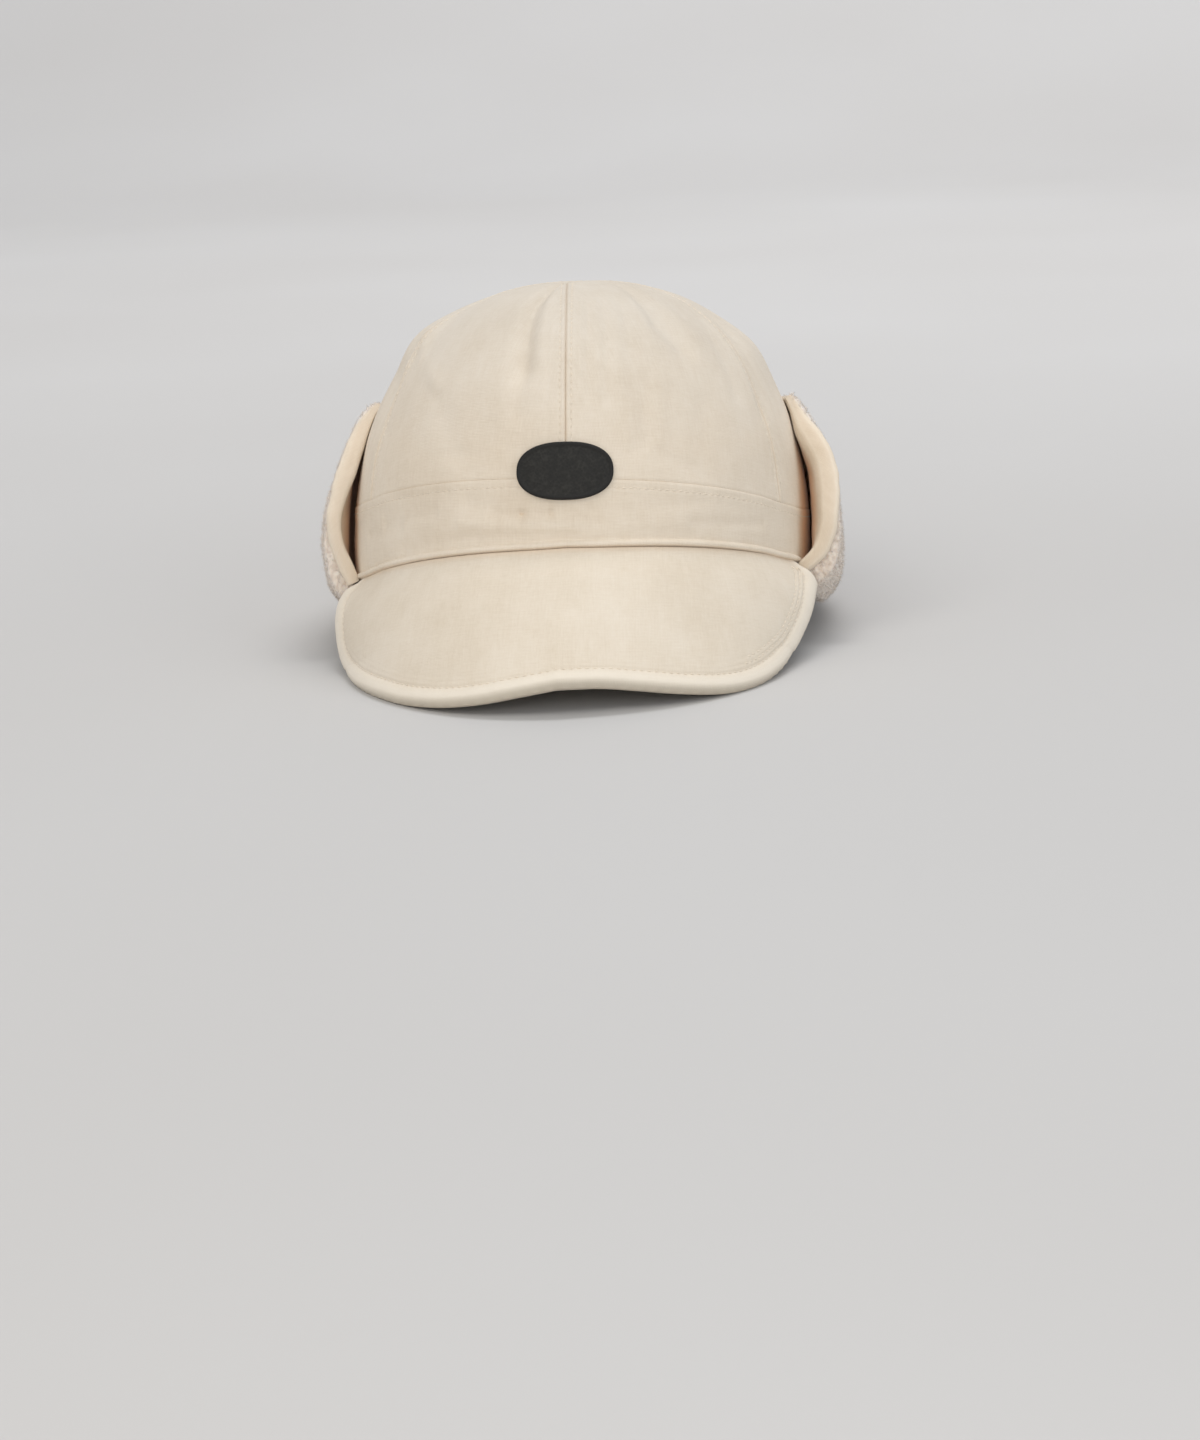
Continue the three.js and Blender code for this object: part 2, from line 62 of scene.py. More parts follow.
# behind, left, right: degrees behind the flap's front edge, and how far each side stands off the crown at its widest
FLAP_SIDE = [
    (0, 6.7, 9.6), (4, 5.9, 7.8), (9, 5.1, 5.9), (16, 4.6, 4.4), (24, 4.3, 3.9), (45, 3.6, 3.4), (80, 3.2, 3.2), (115, 3.0, 3.0),
]
# up, left, right: how that distance is shared out up the flap
FLAP_STAND = [
    (0, 0, 0), (0.1, 0.34, 0.64), (0.22, 0.80, 0.96), (0.36, 0.92, 1), (0.5, 0.62, 0.98), (0.62, 0.27, 0.88),
    (0.74, 0.15, 0.56), (0.86, 0.06, 0.24), (1, 0.0, 0.06),
]
# up, deg, left, right: the flap's free front edge, and each side's share of the lip's thickness
FLAP_FRONT = [
    (0, 67.5, 0.94, 0.94), (0.15, 67.9, 1.05, 1.15), (0.3, 68.5, 1.15, 1.38), (0.45, 69.9, 1.28, 1.42), (0.6, 72, 1.45, 1.35),
    (0.75, 75, 1.25, 1.15), (0.85, 78.6, 0.95, 0.9), (0.95, 84.5, 0.5, 0.5), (1, 92, 0.15, 0.2),
]
# up, pile, out, down: the pile's thickness and direction up the flap
FLAP_RISE = [
    (0, 7.0, -0.15, -0.99), (0.03, 9.7, 0.20, -0.98), (0.08, 8.6, 0.70, -0.71), (0.16, 6.4, 0.93, -0.37),
    (0.28, 4.9, 1, -0.1), (0.42, 4.2, 1, 0), (0.56, 4.2, 1, 0.05), (0.70, 3.9, 1, 0.15), (0.84, 3.1, 1, 0.2),
    (0.95, 2.0, 1, 0.25), (1, 1.1, 1, 0.3),
]
# at, pitch, heading: the peak's fan from its middle to its ends
PEAK_FAN = [(0, 49.6, 0), (0.35, 52.9, 6.7), (0.65, 57.9, 21.6), (0.85, 63.6, 32.6), (1, 66.1, 38.8)]
# at, left, right: how far the peak reaches from its seam
PEAK_EDGE = [
    (0, 56.3, 56.3), (0.12, 57.8, 55.4), (0.26, 59.5, 56.3), (0.38, 59.0, 57.0), (0.5, 56.2, 56.2), (0.6, 52.1, 53.0),
    (0.7, 47.3, 46.7), (0.8, 41.3, 37.3), (0.88, 33.6, 25.4), (0.95, 20.5, 14.4), (1, 9.6, 9.6),
]
# deg0, z0, deg1, z1, depth (+ in), width: the crown's main dents, as the frame has them
DENTS = [
    (-100, 88, -62, 84, -3.1, 9.5), (66, 78, 100, 81, -1.8, 9.0),
    (-15, 101, -12.5, 76, 2.4, 5.0), (30, 99, 34, 83, 1.3, 6.5), (-66, 74, -60, 56, 0.8, 7.0),
    (66, 88, 60, 60, 0.9, 7.0), (-24, 29.5, 6, 26.5, 0.9, 3.2), (150, 90, 158, 60, 1.4, 8.0),
    (212, 84, 205, 56, 1.2, 8.0),
]
# deg0, z0, deg1, z1, depth (+ in), width: the cloth's smaller folds and creases
CREASES = [
    (-12.5, 78, -12.2, 60, 0.8, 3.4), (-9.5, 100, -8.0, 80, -0.5, 3.0), (-16.5, 99, -13.2, 86, 0.7, 2.2),
    (28, 99, 29, 91, 0.35, 3.4), (29, 90, 37, 80, 0.5, 3.2), (24, 96, 25, 84, -0.35, 3.2), (38, 96, 42, 84, -0.3, 4.0),
    (3.6, 100, 3.3, 74, -0.30, 1.5), (6.1, 97, 5.6, 66, 0.34, 1.7), (8.6, 98, 8.0, 68, -0.28, 1.6), (11.4, 99, 10.3, 64, 0.30, 1.8),
    (14.6, 97, 13.0, 62, -0.26, 2.0), (18.4, 96, 16.5, 66, 0.26, 2.2), (20, 70, 19, 50, 0.45, 3.4), (15.5, 66, 15, 50, -0.3, 3.0),
    (25, 72, 23, 50, -0.25, 3.0), (-4.2, 92, -4.4, 70, 0.16, 1.6), (-6.4, 90, -6.6, 66, -0.14, 1.8),
    (-64, 82, -58, 80, 0.9, 3.6), (-58, 82, -40, 70, -0.6, 3.4), (-52, 78, -38, 66, 0.45, 3.0), (57.5, 88, 56.5, 62, -0.5, 4.5),
    (50, 84, 49, 64, 0.4, 4.0), (-18, 26.2, -11, 25.4, 1.0, 1.6), (-11, 25.4, -4, 25.3, 1.1, 1.7), (-4, 25.3, 8, 22.4, 0.8, 2.0),
    (8, 22.4, 20, 22.8, 0.22, 1.8), (-26, 21.8, 2, 20.8, -0.6, 2.2), (-40, 17, 30, 15.8, 0.35, 3.0), (10, 26, 34, 27.5, 0.25, 2.2),
    (-52, 21, -34, 26, 0.80, 2.5), (-60, 15, -46, 20, 0.65, 2.3), (30, 20.5, 52, 17.5, 0.50, 2.1), (-44, 12, -22, 17.5, 0.60, 2.4), (-48, 30, -30, 33, 0.42, 2.2), (-34, 60, -28, 46, 0.4, 5.0),
    (36, 60, 33, 44, 0.4, 5.5), (-20, 56, -24, 40, 0.3, 4.0), (22, 44, 34, 38, 0.3, 3.0), (-36, 44, -24, 47, 0.25, 3.0),
    (100, 96, 108, 72, 1.0, 5.0), (118, 88, 124, 66, -0.6, 5.0), (172, 100, 170, 78, 0.9, 4.5), (190, 98, 193, 72, 1.0, 5.0),
    (232, 92, 240, 70, 0.8, 6.0), (262, 98, 258, 76, 0.9, 5.0), (286, 96, 290, 78, -0.6, 5.0), (84, 100, 80, 84, 0.7, 5.0),
    (140, 78, 146, 58, 0.7, 5.0), (222, 74, 216, 58, 0.6, 5.0),
]
SEAM_ANGLES = [0, 60, 120, 180, 240, 300]
STITCH = {"pitch": 2.7, "length": 2.15, "radius": 0.2, "from_seam": 2.0}


# ==== small tools ================================================================================================
def look(table, x, col=1):
    """smooth curve through a table's rows, by the first column"""
    k = np.array([r[0] for r in table], float)
    v = np.array([r[col] for r in table], float)
    x = np.clip(x, k[0], k[-1])
    i = np.clip(np.searchsorted(k, x, side="left") - 1, 0, len(k) - 2)
    m = np.empty_like(v)
    m[1:-1] = (v[2:] - v[:-2]) / (k[2:] - k[:-2])
    m[0] = (v[1] - v[0]) / (k[1] - k[0])
    m[-1] = (v[-1] - v[-2]) / (k[-1] - k[-2])
    h = k[i + 1] - k[i]
    t = (x - k[i]) / h
    t2, t3 = t * t, t * t * t
    return (2 * t3 - 3 * t2 + 1) * v[i] + (t3 - 2 * t2 + t) * h * m[i] + (3 * t2 - 2 * t3) * v[i + 1] + (t3 - t2) * h * m[i + 1]


def signed180(deg):
    return (deg + 180.0) % 360.0 - 180.0


def unit(v):
    return v / np.maximum(np.linalg.norm(v, axis=-1, keepdims=True), 1e-9)


def smoothstep(a, b, x):
    t = np.clip((x - a) / (b - a), 0, 1)
    return t * t * (3 - 2 * t)


BACK = (math.sin(math.radians(TIP["back"])), math.cos(math.radians(TIP["back"])))
SIDE = (math.sin(math.radians(TIP["side"])), math.cos(math.radians(TIP["side"])))


def turn_only(p):
    """a direction of the cap's frame, in the ground frame"""
    x, y, z = p[..., 0], p[..., 1], p[..., 2]
    Y = y * BACK[1] + z * BACK[0]
    z1 = -y * BACK[0] + z * BACK[1]
    return np.stack([x * SIDE[1] + z1 * SIDE[0], Y, -x * SIDE[0] + z1 * SIDE[1]], -1)


def stand(p, flatten=False):
    """from the cap's frame to the ground frame, in mm"""
    q = turn_only(p) + np.array([SHIFT["x"], SHIFT["y"], SHIFT["z"]])
    if flatten:
        q[..., 2] = np.maximum(q[..., 2], 0.0)
    return q


def noise3(p, scale, seed):
    """smooth noise about -1 to 1, the same each run"""
    rng = np.random.default_rng(seed)
    perm = rng.permutation(256)
    perm = np.concatenate([perm, perm])
    grad = unit(rng.normal(size=(256, 3)))
    q = np.asarray(p, float) / scale
    i = np.floor(q).astype(int)
    f = q - i
    i &= 255
    u = f * f * f * (f * (f * 6 - 15) + 10)
    out = 0.0
    for a in (0, 1):
        for b in (0, 1):
            for c in (0, 1):
                h = perm[perm[perm[(i[..., 0] + a) & 255] + ((i[..., 1] + b) & 255)] + ((i[..., 2] + c) & 255)]
                g = grad[h]
                d = g[..., 0] * (f[..., 0] - a) + g[..., 1] * (f[..., 1] - b) + g[..., 2] * (f[..., 2] - c)
                w = (u[..., 0] if a else 1 - u[..., 0]) * (u[..., 1] if b else 1 - u[..., 1]) * (u[..., 2] if c else 1 - u[..., 2])
                out = out + w * d
    return out * 1.6


def grid_normals(P, wrap=False):
    if wrap:
        du = np.roll(P, -1, 0) - np.roll(P, 1, 0)
    else:
        du = np.gradient(P, axis=0)
    dv = np.gradient(P, axis=1)
    return unit(np.cross(du, dv))


def spread(a, b, fine, coarse, zone):
    """positions from a to b, `fine` apart within `zone` of both ends and growing to `coarse` apart in the middle"""
    length = b - a
    half, x, step = [0.0], 0.0, fine
    while x < length / 2:
        step = fine if x < zone else min(coarse, step * 1.18)
        x += step
        half.append(x)
    half = np.array(half) * (length / 2) / half[-1]
    return np.concatenate([a + half, (b - half)[::-1][1:]])


# ==== meshes =====================================================================================================
def make_mesh(name, verts, faces, uv=None, values=None, sharp=None):
    """verts in mm in the ground frame; faces as a list of (n, k) arrays or lists of index lists"""
    loops, totals = [], []
    for f in faces:
        if isinstance(f, np.ndarray):
            loops.append(f.reshape(-1))
            totals.append(np.full(len(f), f.shape[1]))
        else:
            for poly in f:
                loops.append(np.array(poly))
                totals.append(np.array([len(poly)]))
    loops = np.concatenate(loops).astype(np.int32)
    totals = np.concatenate(totals).astype(np.int32)
    me = bpy.data.meshes.new(name)
    me.vertices.add(len(verts))
    me.vertices.foreach_set("co", (np.asarray(verts, float) * 0.001).astype(np.float32).ravel())
    me.loops.add(len(loops))
    me.loops.foreach_set("vertex_index", loops)
    me.polygons.add(len(totals))
    me.polygons.foreach_set("loop_start", np.concatenate([[0], np.cumsum(totals)[:-1]]).astype(np.int32))
    me.update(calc_edges=True)
    me.validate()
    me.polygons.foreach_set("use_smooth", np.ones(len(me.polygons), bool))
    if uv is not None:
        layer = me.uv_layers.new(name="cloth")
        li = np.zeros(len(me.loops), np.int32)
        me.loops.foreach_get("vertex_index", li)
        layer.data.foreach_set("uv", np.asarray(uv, np.float32)[li].ravel())
    for key, val in (values or {}).items():
        at = me.attributes.new(key, "FLOAT", "POINT")
        at.data.foreach_set("value", np.asarray(val, np.float32))
    if sharp:
        me.set_sharp_from_angle(angle=math.radians(sharp))
    ob = bpy.data.objects.new(name, me)
    bpy.context.scene.collection.objects.link(ob)
    return ob


def slab(name, outer, inner, uv, wrap=False, step=(5, 5), values=None, sharp=55):
    """A closed solid with a fine outer face and a coarser inner one, joined round their edges. Both are grids of the
    same size, seen from outside with i to the right and j up. A wrapped slab is a ring in i."""
    ni, nj = outer.shape[:2]
    io = np.arange(ni * nj).reshape(ni, nj)
    ci = sorted(set(range(0, ni, step[0])) | ({ni - 1} if not wrap else set()))
    cj = sorted(set(range(0, nj, step[1])) | {nj - 1})
    need = np.zeros((ni, nj), bool)
    need[np.ix_(ci, cj)] = True
    need[:, 0] = need[:, -1] = True
    if not wrap:
        need[0, :] = need[-1, :] = True
    ii = np.full((ni, nj), -1)
    ii[need] = ni * nj + np.arange(need.sum())
    verts = np.concatenate([outer.reshape(-1, 3), inner[need]])
    uvs = np.concatenate([uv.reshape(-1, 2), uv[need]])
    vals = {k: np.concatenate([v.reshape(-1), v[need]]) for k, v in (values or {}).items()}
    nxt = np.roll(io, -1, 0) if wrap else io[1:]
    a = io if wrap else io[:-1]
    faces = [np.stack([a[:, :-1], nxt[:, :-1], nxt[:, 1:], a[:, 1:]], -1).reshape(-1, 4)]
    # walls along the low and high edges, and at the two ends
    walls = []
    n = ni if wrap else ni - 1
    for i in range(n):
        k = (i + 1) % ni
        walls.append([ii[i, 0], ii[k, 0], io[k, 0], io[i, 0]])
        walls.append([io[i, -1], io[k, -1], ii[k, -1], ii[i, -1]])
    if not wrap:
        for j in range(nj - 1):
            walls.append([io[0, j], io[0, j + 1], ii[0, j + 1], ii[0, j]])
            walls.append([ii[-1, j], ii[-1, j + 1], io[-1, j + 1], io[-1, j]])
    faces.append(np.array(walls))
    polys = []
    cis = ci + ([ni] if wrap else [])
    for p in range(len(cis) - 1):
        i0, i1 = cis[p], cis[p + 1]
        for q in range(len(cj) - 1):
            j0, j1 = cj[q], cj[q + 1]
            low = [(i, j0) for i in (range(i0, i1 + 1) if j0 == 0 else (i0, i1))]
            right = [(i1, j) for j in (range(j0, j1 + 1) if (not wrap and i1 == ni - 1) else (j0, j1))]
            high = [(i, j1) for i in (range(i1, i0 - 1, -1) if j1 == nj - 1 else (i1, i0))]
            left = [(i0, j) for j in (range(j1, j0 - 1, -1) if (not wrap and i0 == 0) else (j1, j0))]
            loop = low + right[1:] + high[1:] + left[1:-1]
            polys.append([int(ii[i % ni, j]) for i, j in loop][::-1])
    faces.append(polys)
    return make_mesh(name, verts, faces, uvs, vals, sharp)


# ==== the crown's surface ========================================================================================
def exponent(deg):
    c = np.cos(np.radians(deg))
    return ROUNDNESS["side"] + (np.where(c > 0, ROUNDNESS["front"], ROUNDNESS["back"]) - ROUNDNESS["side"]) * c * c


def rim_depth(deg):
    return CROWN["front"] + (CROWN["back"] - CROWN["front"]) * (1 - np.cos(np.radians(deg))) / 2


def crown_base(deg, z):
    deg, z = np.broadcast_arrays(np.asarray(deg, float), np.asarray(z, float))
    n = exponent(deg)
    up = np.clip(z / CROWN["height"], 0, 1)
    q = (1 - up ** n) ** (1 / n)
    a = np.radians(deg)
    return np.stack([CROWN["half_width"] * q * np.sin(a) + LEAN * up * up, -rim_depth(deg) * q * np.cos(a), z], -1)


def crown_normal(deg, z):
    deg, z = np.broadcast_arrays(np.asarray(deg, float), np.asarray(z, float))
    e = 0.05
    zz = np.minimum(z, CROWN["height"] - 0.6)
    u = crown_base(deg + 0.5, zz) - crown_base(deg - 0.5, zz)
    v = crown_base(deg, zz + e) - crown_base(deg, zz - e)
    n = exponent(deg)
    q = (1 - np.clip(z / CROWN["height"], 0, 1) ** n) ** (1 / n)
    flat = np.clip(1 - q / 0.3, 0, 1)[..., None]
    return unit(unit(np.cross(u, v)) * (1 - flat) + np.array([0, 0, 1.0]) * flat)


def lines_at(table, deg, z):
    total = np.zeros(np.broadcast(deg, z).shape)
    for d0, z0, d1, z1, depth, width in table:
        k = 1.7
        ax, ay = signed180(deg - d0) * k, z - z0
        bx, by = (d1 - d0) * k, z1 - z0
        t = np.clip((ax * bx + ay * by) / (bx * bx + by * by), 0, 1)
        dist2 = (ax - bx * t) ** 2 + (ay - by * t) ** 2
        total = total + depth * np.exp(-dist2 / (width * width))
    return total


def drift(deg, z):
    """a seam's own angle, moved round to where it lies at that height"""
    n = exponent(deg)
    q = (1 - np.clip(z / CROWN["height"], 0, 1) ** n) ** (1 / n)
    return deg - SEAM_DRIFT * np.cos(np.radians(deg)) * np.minimum(2.2, (1 - q) / np.maximum(q, 0.01))


def rim_level(deg):
    return look(RIM, np.abs(signed180(deg)))


def rim_height(deg):
    s = np.sin(np.radians(deg))
    t = np.clip((np.abs(signed180(np.asarray(deg, float))) - 66.5) / 15, 0, 1)
    return rim_level(deg) + SKEW["rim"] * s - np.where(s > 0, FOLD_DROP * s * s * t * t * (3 - 2 * t), 0.0)


def band_top(deg):
    return rim_level(deg) + BAND_HEIGHT + SKEW["band_top"] * np.sin(np.radians(deg))


def cloth_relief(deg, z):
    """the soft shape of the cloth, outwards, without seams"""
    p = crown_base(deg, z)
    top = smoothstep(104.5, 96, z)
    soft = 0.34 * noise3(p, 34, 3) + 0.17 * noise3(p, 15, 4) + 0.06 * noise3(p * np.array([1, 1, 0.6]), 6.5, 5)
    return -lines_at(DENTS, deg, z) - lines_at(CREASES, deg, z) + soft * (0.25 + 0.75 * top)


def seam_relief(d, along, seed):
    """one edge of a sewn and topstitched seam: d is the distance from the seam, in mm"""
    c = np.stack([along / 4.2, d / 9.0, np.full_like(d, seed * 3.7)], -1)
    pucker = noise3(c, 1.0, 11) * np.exp(-(((d - 1.6) / 2.6) ** 2)) * 0.13
    valley = -0.38 * np.exp(-((d / 0.36) ** 2))
    shoulder = 0.15 * np.exp(-(((d - 1.0) / 0.6) ** 2))
    beat = 0.72 + 0.28 * np.cos(2 * np.pi * along / STITCH["pitch"])
    groove = -0.16 * np.exp(-(((d - STITCH["from_seam"]) / 0.34) ** 2)) * beat
    allowance = 0.13 * smoothstep(6.4, 4.6, d)
    return valley + shoulder + groove + allowance + pucker


def hidden(deg, z):
    """how far a spot of the crown lies down behind the turned-up flap, 0 to 1"""
    d = np.abs(signed180(deg))
    up = np.clip((z - rim_height(deg)) / 62.0, 0, 1)
    front = look(FLAP_FRONT, up)
    behind = smoothstep(0.8, 8.0, d - front)
    top = look(FLAP_RUN, d, 1) + SKEW["flap_top"] * np.sin(np.radians(deg))
    return behind * smoothstep(0.3, 7.0, top - z)


def crown_point(deg, z, off):
    return crown_base(deg, z) + crown_normal(deg, z) * np.asarray(off)[..., None]


# ==== the six panels =============================================================================================
PANEL_NAMES = ["crown_front_right", "crown_side_right", "crown_back_right", "crown_back_left", "crown_side_left", "crown_front_left"]
PANEL_ROWS = 170
stitch_runs = []   # name, points, normals


def column_heights(deg, low, rows, tip=0.004):
    """heights up a panel's column, evenly spaced along the cloth, finer near the band"""
    n = float(exponent(deg))
    a = np.linspace(math.asin((low / CROWN["height"]) ** (n / 2)), math.acos(tip ** (n / 2)), 500)
    z = CROWN["height"] * np.sin(a) ** (2 / n)
    q = np.cos(a) ** (2 / n)
    r = math.hypot(CROWN["half_width"] * math.sin(math.radians(deg)), float(rim_depth(deg)) * math.cos(math.radians(deg)))
    s = np.concatenate([[0], np.cumsum(np.hypot(np.diff(z), np.diff(q) * r))])
    near = np.array([0, 0.12, 0.28, 0.48, 0.72, 1.0, 1.4, 1.9, 2.5, 3.1])
    rest = np.linspace(3.8, s[-1], rows - len(near))
    want = np.concatenate([near, rest])
    return np.interp(want, s, z), want, s[-1]


panels = []
for number, name in enumerate(PANEL_NAMES):
    d0, d1 = SEAM_ANGLES[number], SEAM_ANGLES[number] + 60
    share = spread(0, 92.0, 0.27, 1.75, 5.2) / 92.0
    Z, S = [], []
    for s in share:
        mid = d0 + 60 * s
        z, want, length = column_heights(mid, float(band_top(mid)) + 0.02, PANEL_ROWS)
        Z.append(z)
        S.append(want)
    Z, S = np.array(Z), np.array(S)
    D = np.broadcast_to((d0 + 60 * share)[:, None], Z.shape).copy()
    # mm round the crown for one degree at that height
    span = np.linalg.norm(crown_base(D + 0.5, Z) - crown_base(D - 0.5, Z), axis=-1)
    trim = 0.02 / np.maximum(span, 0.02)
    D = (d0 + trim) + (60 - 2 * trim) * share[:, None]
    left, right = (D - d0) * span, (d1 - D) * span
    squeeze = smoothstep(0.0, 9.0, span * 60)           # seams crowd together at the very top
    rise = cloth_relief(drift(D, Z), Z)
    rise = rise + (seam_relief(left, S, number) + seam_relief(right, S, number + 7)) * (0.35 + 0.65 * squeeze)
    rise = rise - 0.13 * np.exp(-((S / 0.36) ** 2)) + 0.05 * np.exp(-(((S - 1.1) / 0.7) ** 2))
    rise = rise + 0.10 * noise3(np.stack([D * 1.7 / 5.0, S / 9.0, 0 * S], -1), 1.0, 21) * np.exp(-((S / 5.0) ** 2))
    T = drift(D, Z)
    outer = stand(crown_point(T, Z, rise))
    inner = stand(crown_point(T, Z, -WALL - lines_at(DENTS, T, Z)))
    uv = np.stack([(D - d0 - 30) * span, S], -1)
    seam_tone = np.minimum(left, right)
    # painted shade: edge darkens the cloth near its seams and the band, and tuck darkens it where it runs down behind
    # the flap
    panels.append(slab(name.replace("crown", "panel"), outer, inner, uv, step=(6, 6), values={"edge": np.minimum(seam_tone, S + 0.55), "tuck": hidden(T, Z)}))
    # topstitching on both sides of each seam, up to where the rows meet
    for side, dist in ((0, left), (1, right)):
        pts, out = [], []
        for j in range(4, PANEL_ROWS):
            width = span[0 if side == 0 else -1, j] * 60
            if width < 4 * STITCH["from_seam"] + 2.2:
                break
            want = STITCH["from_seam"]
            col = dist[:, j]
            f = np.interp(want, col if side == 0 else col[::-1], np.arange(len(col)) if side == 0 else np.arange(len(col))[::-1])
            i = int(np.floor(f))
            pts.append(outer[i, j] * (1 - (f - i)) + outer[i + 1, j] * (f - i))
            deg = drift(D[i, j], Z[i, j])
            out.append(turn_only(crown_normal(deg, Z[i, j])))
        stitch_runs.append(("crown", np.array(pts), np.array(out), 0.3 * side))


# ==== the band ===================================================================================================
def ring_angles():
    """angles round the rim, finer over the peak"""
    out, d = [], -180.0
    while d < 180.0:
        out.append(d)
        d += 0.36 if abs(d + 0.2) < 76 else 1.25
    return np.array(out)


band_deg = ring_angles()
BAND_STITCH_DROP = 2.9
rows = [0, 0.18, 0.4, 0.7, 1.0, 1.35, 1.7, 2.0, 2.3, 2.55, 2.75, 2.95, 3.2, 3.6, 4.2, 5.0, 5.9, 6.9, 7.9, 8.9, 9.9, 10.9, 11.9, 12.9, 13.9, 14.9, 15.9, 16.9, 17.9]
tops = [5.4, 4.4, 3.7, 3.3, 3.05, 2.85, 2.6, 2.3, 1.9, 1.5, 1.1, 0.8, 0.55, 0.36, 0.2, 0.08, 0]
heights = []
for d in band_deg:
    lo, hi = float(rim_height(d)) + GAP / 2, float(band_top(d)) - 0.02
    body = np.array(rows) * (hi - lo - 6.3) / 17.9 if hi - lo < 24 else np.array(rows)
    heights.append(np.concatenate([lo + np.array(rows) * min(1.0, (hi - lo - 6.2) / 17.9), hi - np.array(tops)]))
Z = np.array(heights)
D = np.broadcast_to(band_deg[:, None], Z.shape).copy()
lo = (rim_height(band_deg) + GAP / 2)[:, None]
hi = (band_top(band_deg) - 0.02)[:, None]
H, T = Z - lo, hi - Z
around = np.concatenate([[0], np.cumsum(np.linalg.norm(np.diff(crown_base(band_deg, 10.0), axis=0), axis=1))])
A = np.broadcast_to(around[:, None], Z.shape)
roll = 1.15 * np.sqrt(np.clip(1 - ((H - 1.55) / 1.2) ** 2, 0, 1)) + 0.12 * smoothstep(6.5, 2.5, H)
hollow = (0.42 * np.exp(-(((H - 3.15) / 0.75) ** 2)) + 0.42 * np.exp(-(((H - 4.8) / 2.0) ** 2))) * (0.65 + 0.35 * noise3(np.stack([A / 16.0, 0 * A, 0 * A], -1), 1.0, 33)) * smoothstep(76.0, 60.0, np.abs(D))
beat = 0.72 + 0.28 * np.cos(2 * np.pi * A / STITCH["pitch"])
rise = cloth_relief(D, Z) * smoothstep(-0.5, 5.0, H)
rise = rise + roll - hollow - 0.12 * np.exp(-(((H - 3.0) / 0.5) ** 2)) - 0.50 * np.exp(-((H / 0.45) ** 2))
ridge = smoothstep(6.0, 3.6, T) * (0.16 + 0.10 * smoothstep(-18, -34, D))
faint = 0.20 + 0.60 * smoothstep(14, 40, D)
rise = rise - 0.24 * faint * np.exp(-((T / 0.36) ** 2)) + 0.08 * np.exp(-(((T - 1.1) / 0.7) ** 2)) + ridge
rise = rise - 0.15 * np.exp(-(((T - BAND_STITCH_DROP) / 0.34) ** 2)) * beat
rise = rise + 0.12 * noise3(np.stack([A / 5.0, T / 9.0, 0 * T], -1), 1.0, 31) * np.exp(-(((T - 1.5) / 3.5) ** 2))
rise = rise + 0.10 * noise3(np.stack([A / 6.5, H / 9.0, 0 * T], -1), 1.0, 32) * np.exp(-((H / 4.0) ** 2))
outer = stand(crown_point(D, Z, rise))
inner = stand(crown_point(D, Z, -WALL - lines_at(DENTS, D, Z)))
uv = np.stack([A, Z], -1)
# painted shade: tuck darkens the band where it runs down behind the flap and along its lower edge at the peak's seam;
# edge darkens it at both seams
band = slab("band_cloth", outer, inner, uv, wrap=True, step=(6, 46), values={"edge": np.minimum(0.7 * H, T + 0.55), "tuck": np.maximum(hidden(D, Z), 0.20 * np.exp(-((H / 0.6) ** 2)))})
k = len(rows) + tops.index(2.85)
stitch_runs.append(("band", outer[:, k], turn_only(crown_normal(D[:, k], Z[:, k])), 0.0))


# ==== the peak ===================================================================================================
SEAM_HALF = 112.0


def peak_length(at):
    return np.where(np.asarray(at) < 0, look(PEAK_EDGE, np.abs(at), 1), look(PEAK_EDGE, np.abs(at), 2))


def peak_mid(at, w):
    at, w = np.broadcast_arrays(np.asarray(at, float), np.asarray(w, float))
    deg = PEAK["half_angle"] * at
    p = crown_base(deg, rim_height(deg))
    a, sign = np.abs(at), np.sign(at)
    pitch = np.radians(look(PEAK_FAN, a, 1))
    heading = np.radians(look(PEAK_FAN, a, 2) * sign - PEAK["turn"])
    forth = np.stack([np.sin(heading) * np.cos(pitch), -np.cos(heading) * np.cos(pitch), -np.sin(pitch)], -1)
    up = np.stack([np.sin(heading) * np.sin(pitch), -np.cos(heading) * np.sin(pitch), np.cos(pitch)], -1)
    L = peak_length(at)
    rise = PEAK["crown"] * 4 * (w / L) * (1 - w / L) - PEAK["root_thick"] * 0.62
    side = np.stack([np.cos(heading), np.sin(heading), 0 * heading], -1) * sign[..., None]
    flare = PEAK["flare"] * a ** 5 * np.sin(np.pi * np.clip(w / PEAK["flare_length"], 0, 1)) ** 0.8
    return p + forth * (w + 0.75)[..., None] + up * rise[..., None] + side * flare[..., None]


c = np.linspace(-1, 1, 401)
a = np.sin(c * np.pi / 2)
outline = np.concatenate([np.stack([a * SEAM_HALF, peak_length(a)], -1)]
                         + [np.stack([np.full(60, s * SEAM_HALF), np.linspace(0, float(peak_length(float(s))), 60)], -1) for s in (-1, 1)])


def edge_distance(at, w):
    x, y = (at * SEAM_HALF).ravel(), w.ravel()
    out = np.empty(len(x))
    for s in range(0, len(x), 4000):
        e = slice(s, s + 4000)
        out[e] = np.sqrt(((x[e, None] - outline[:, 0]) ** 2 + (y[e, None] - outline[:, 1]) ** 2).min(1))
    return out.reshape(at.shape)


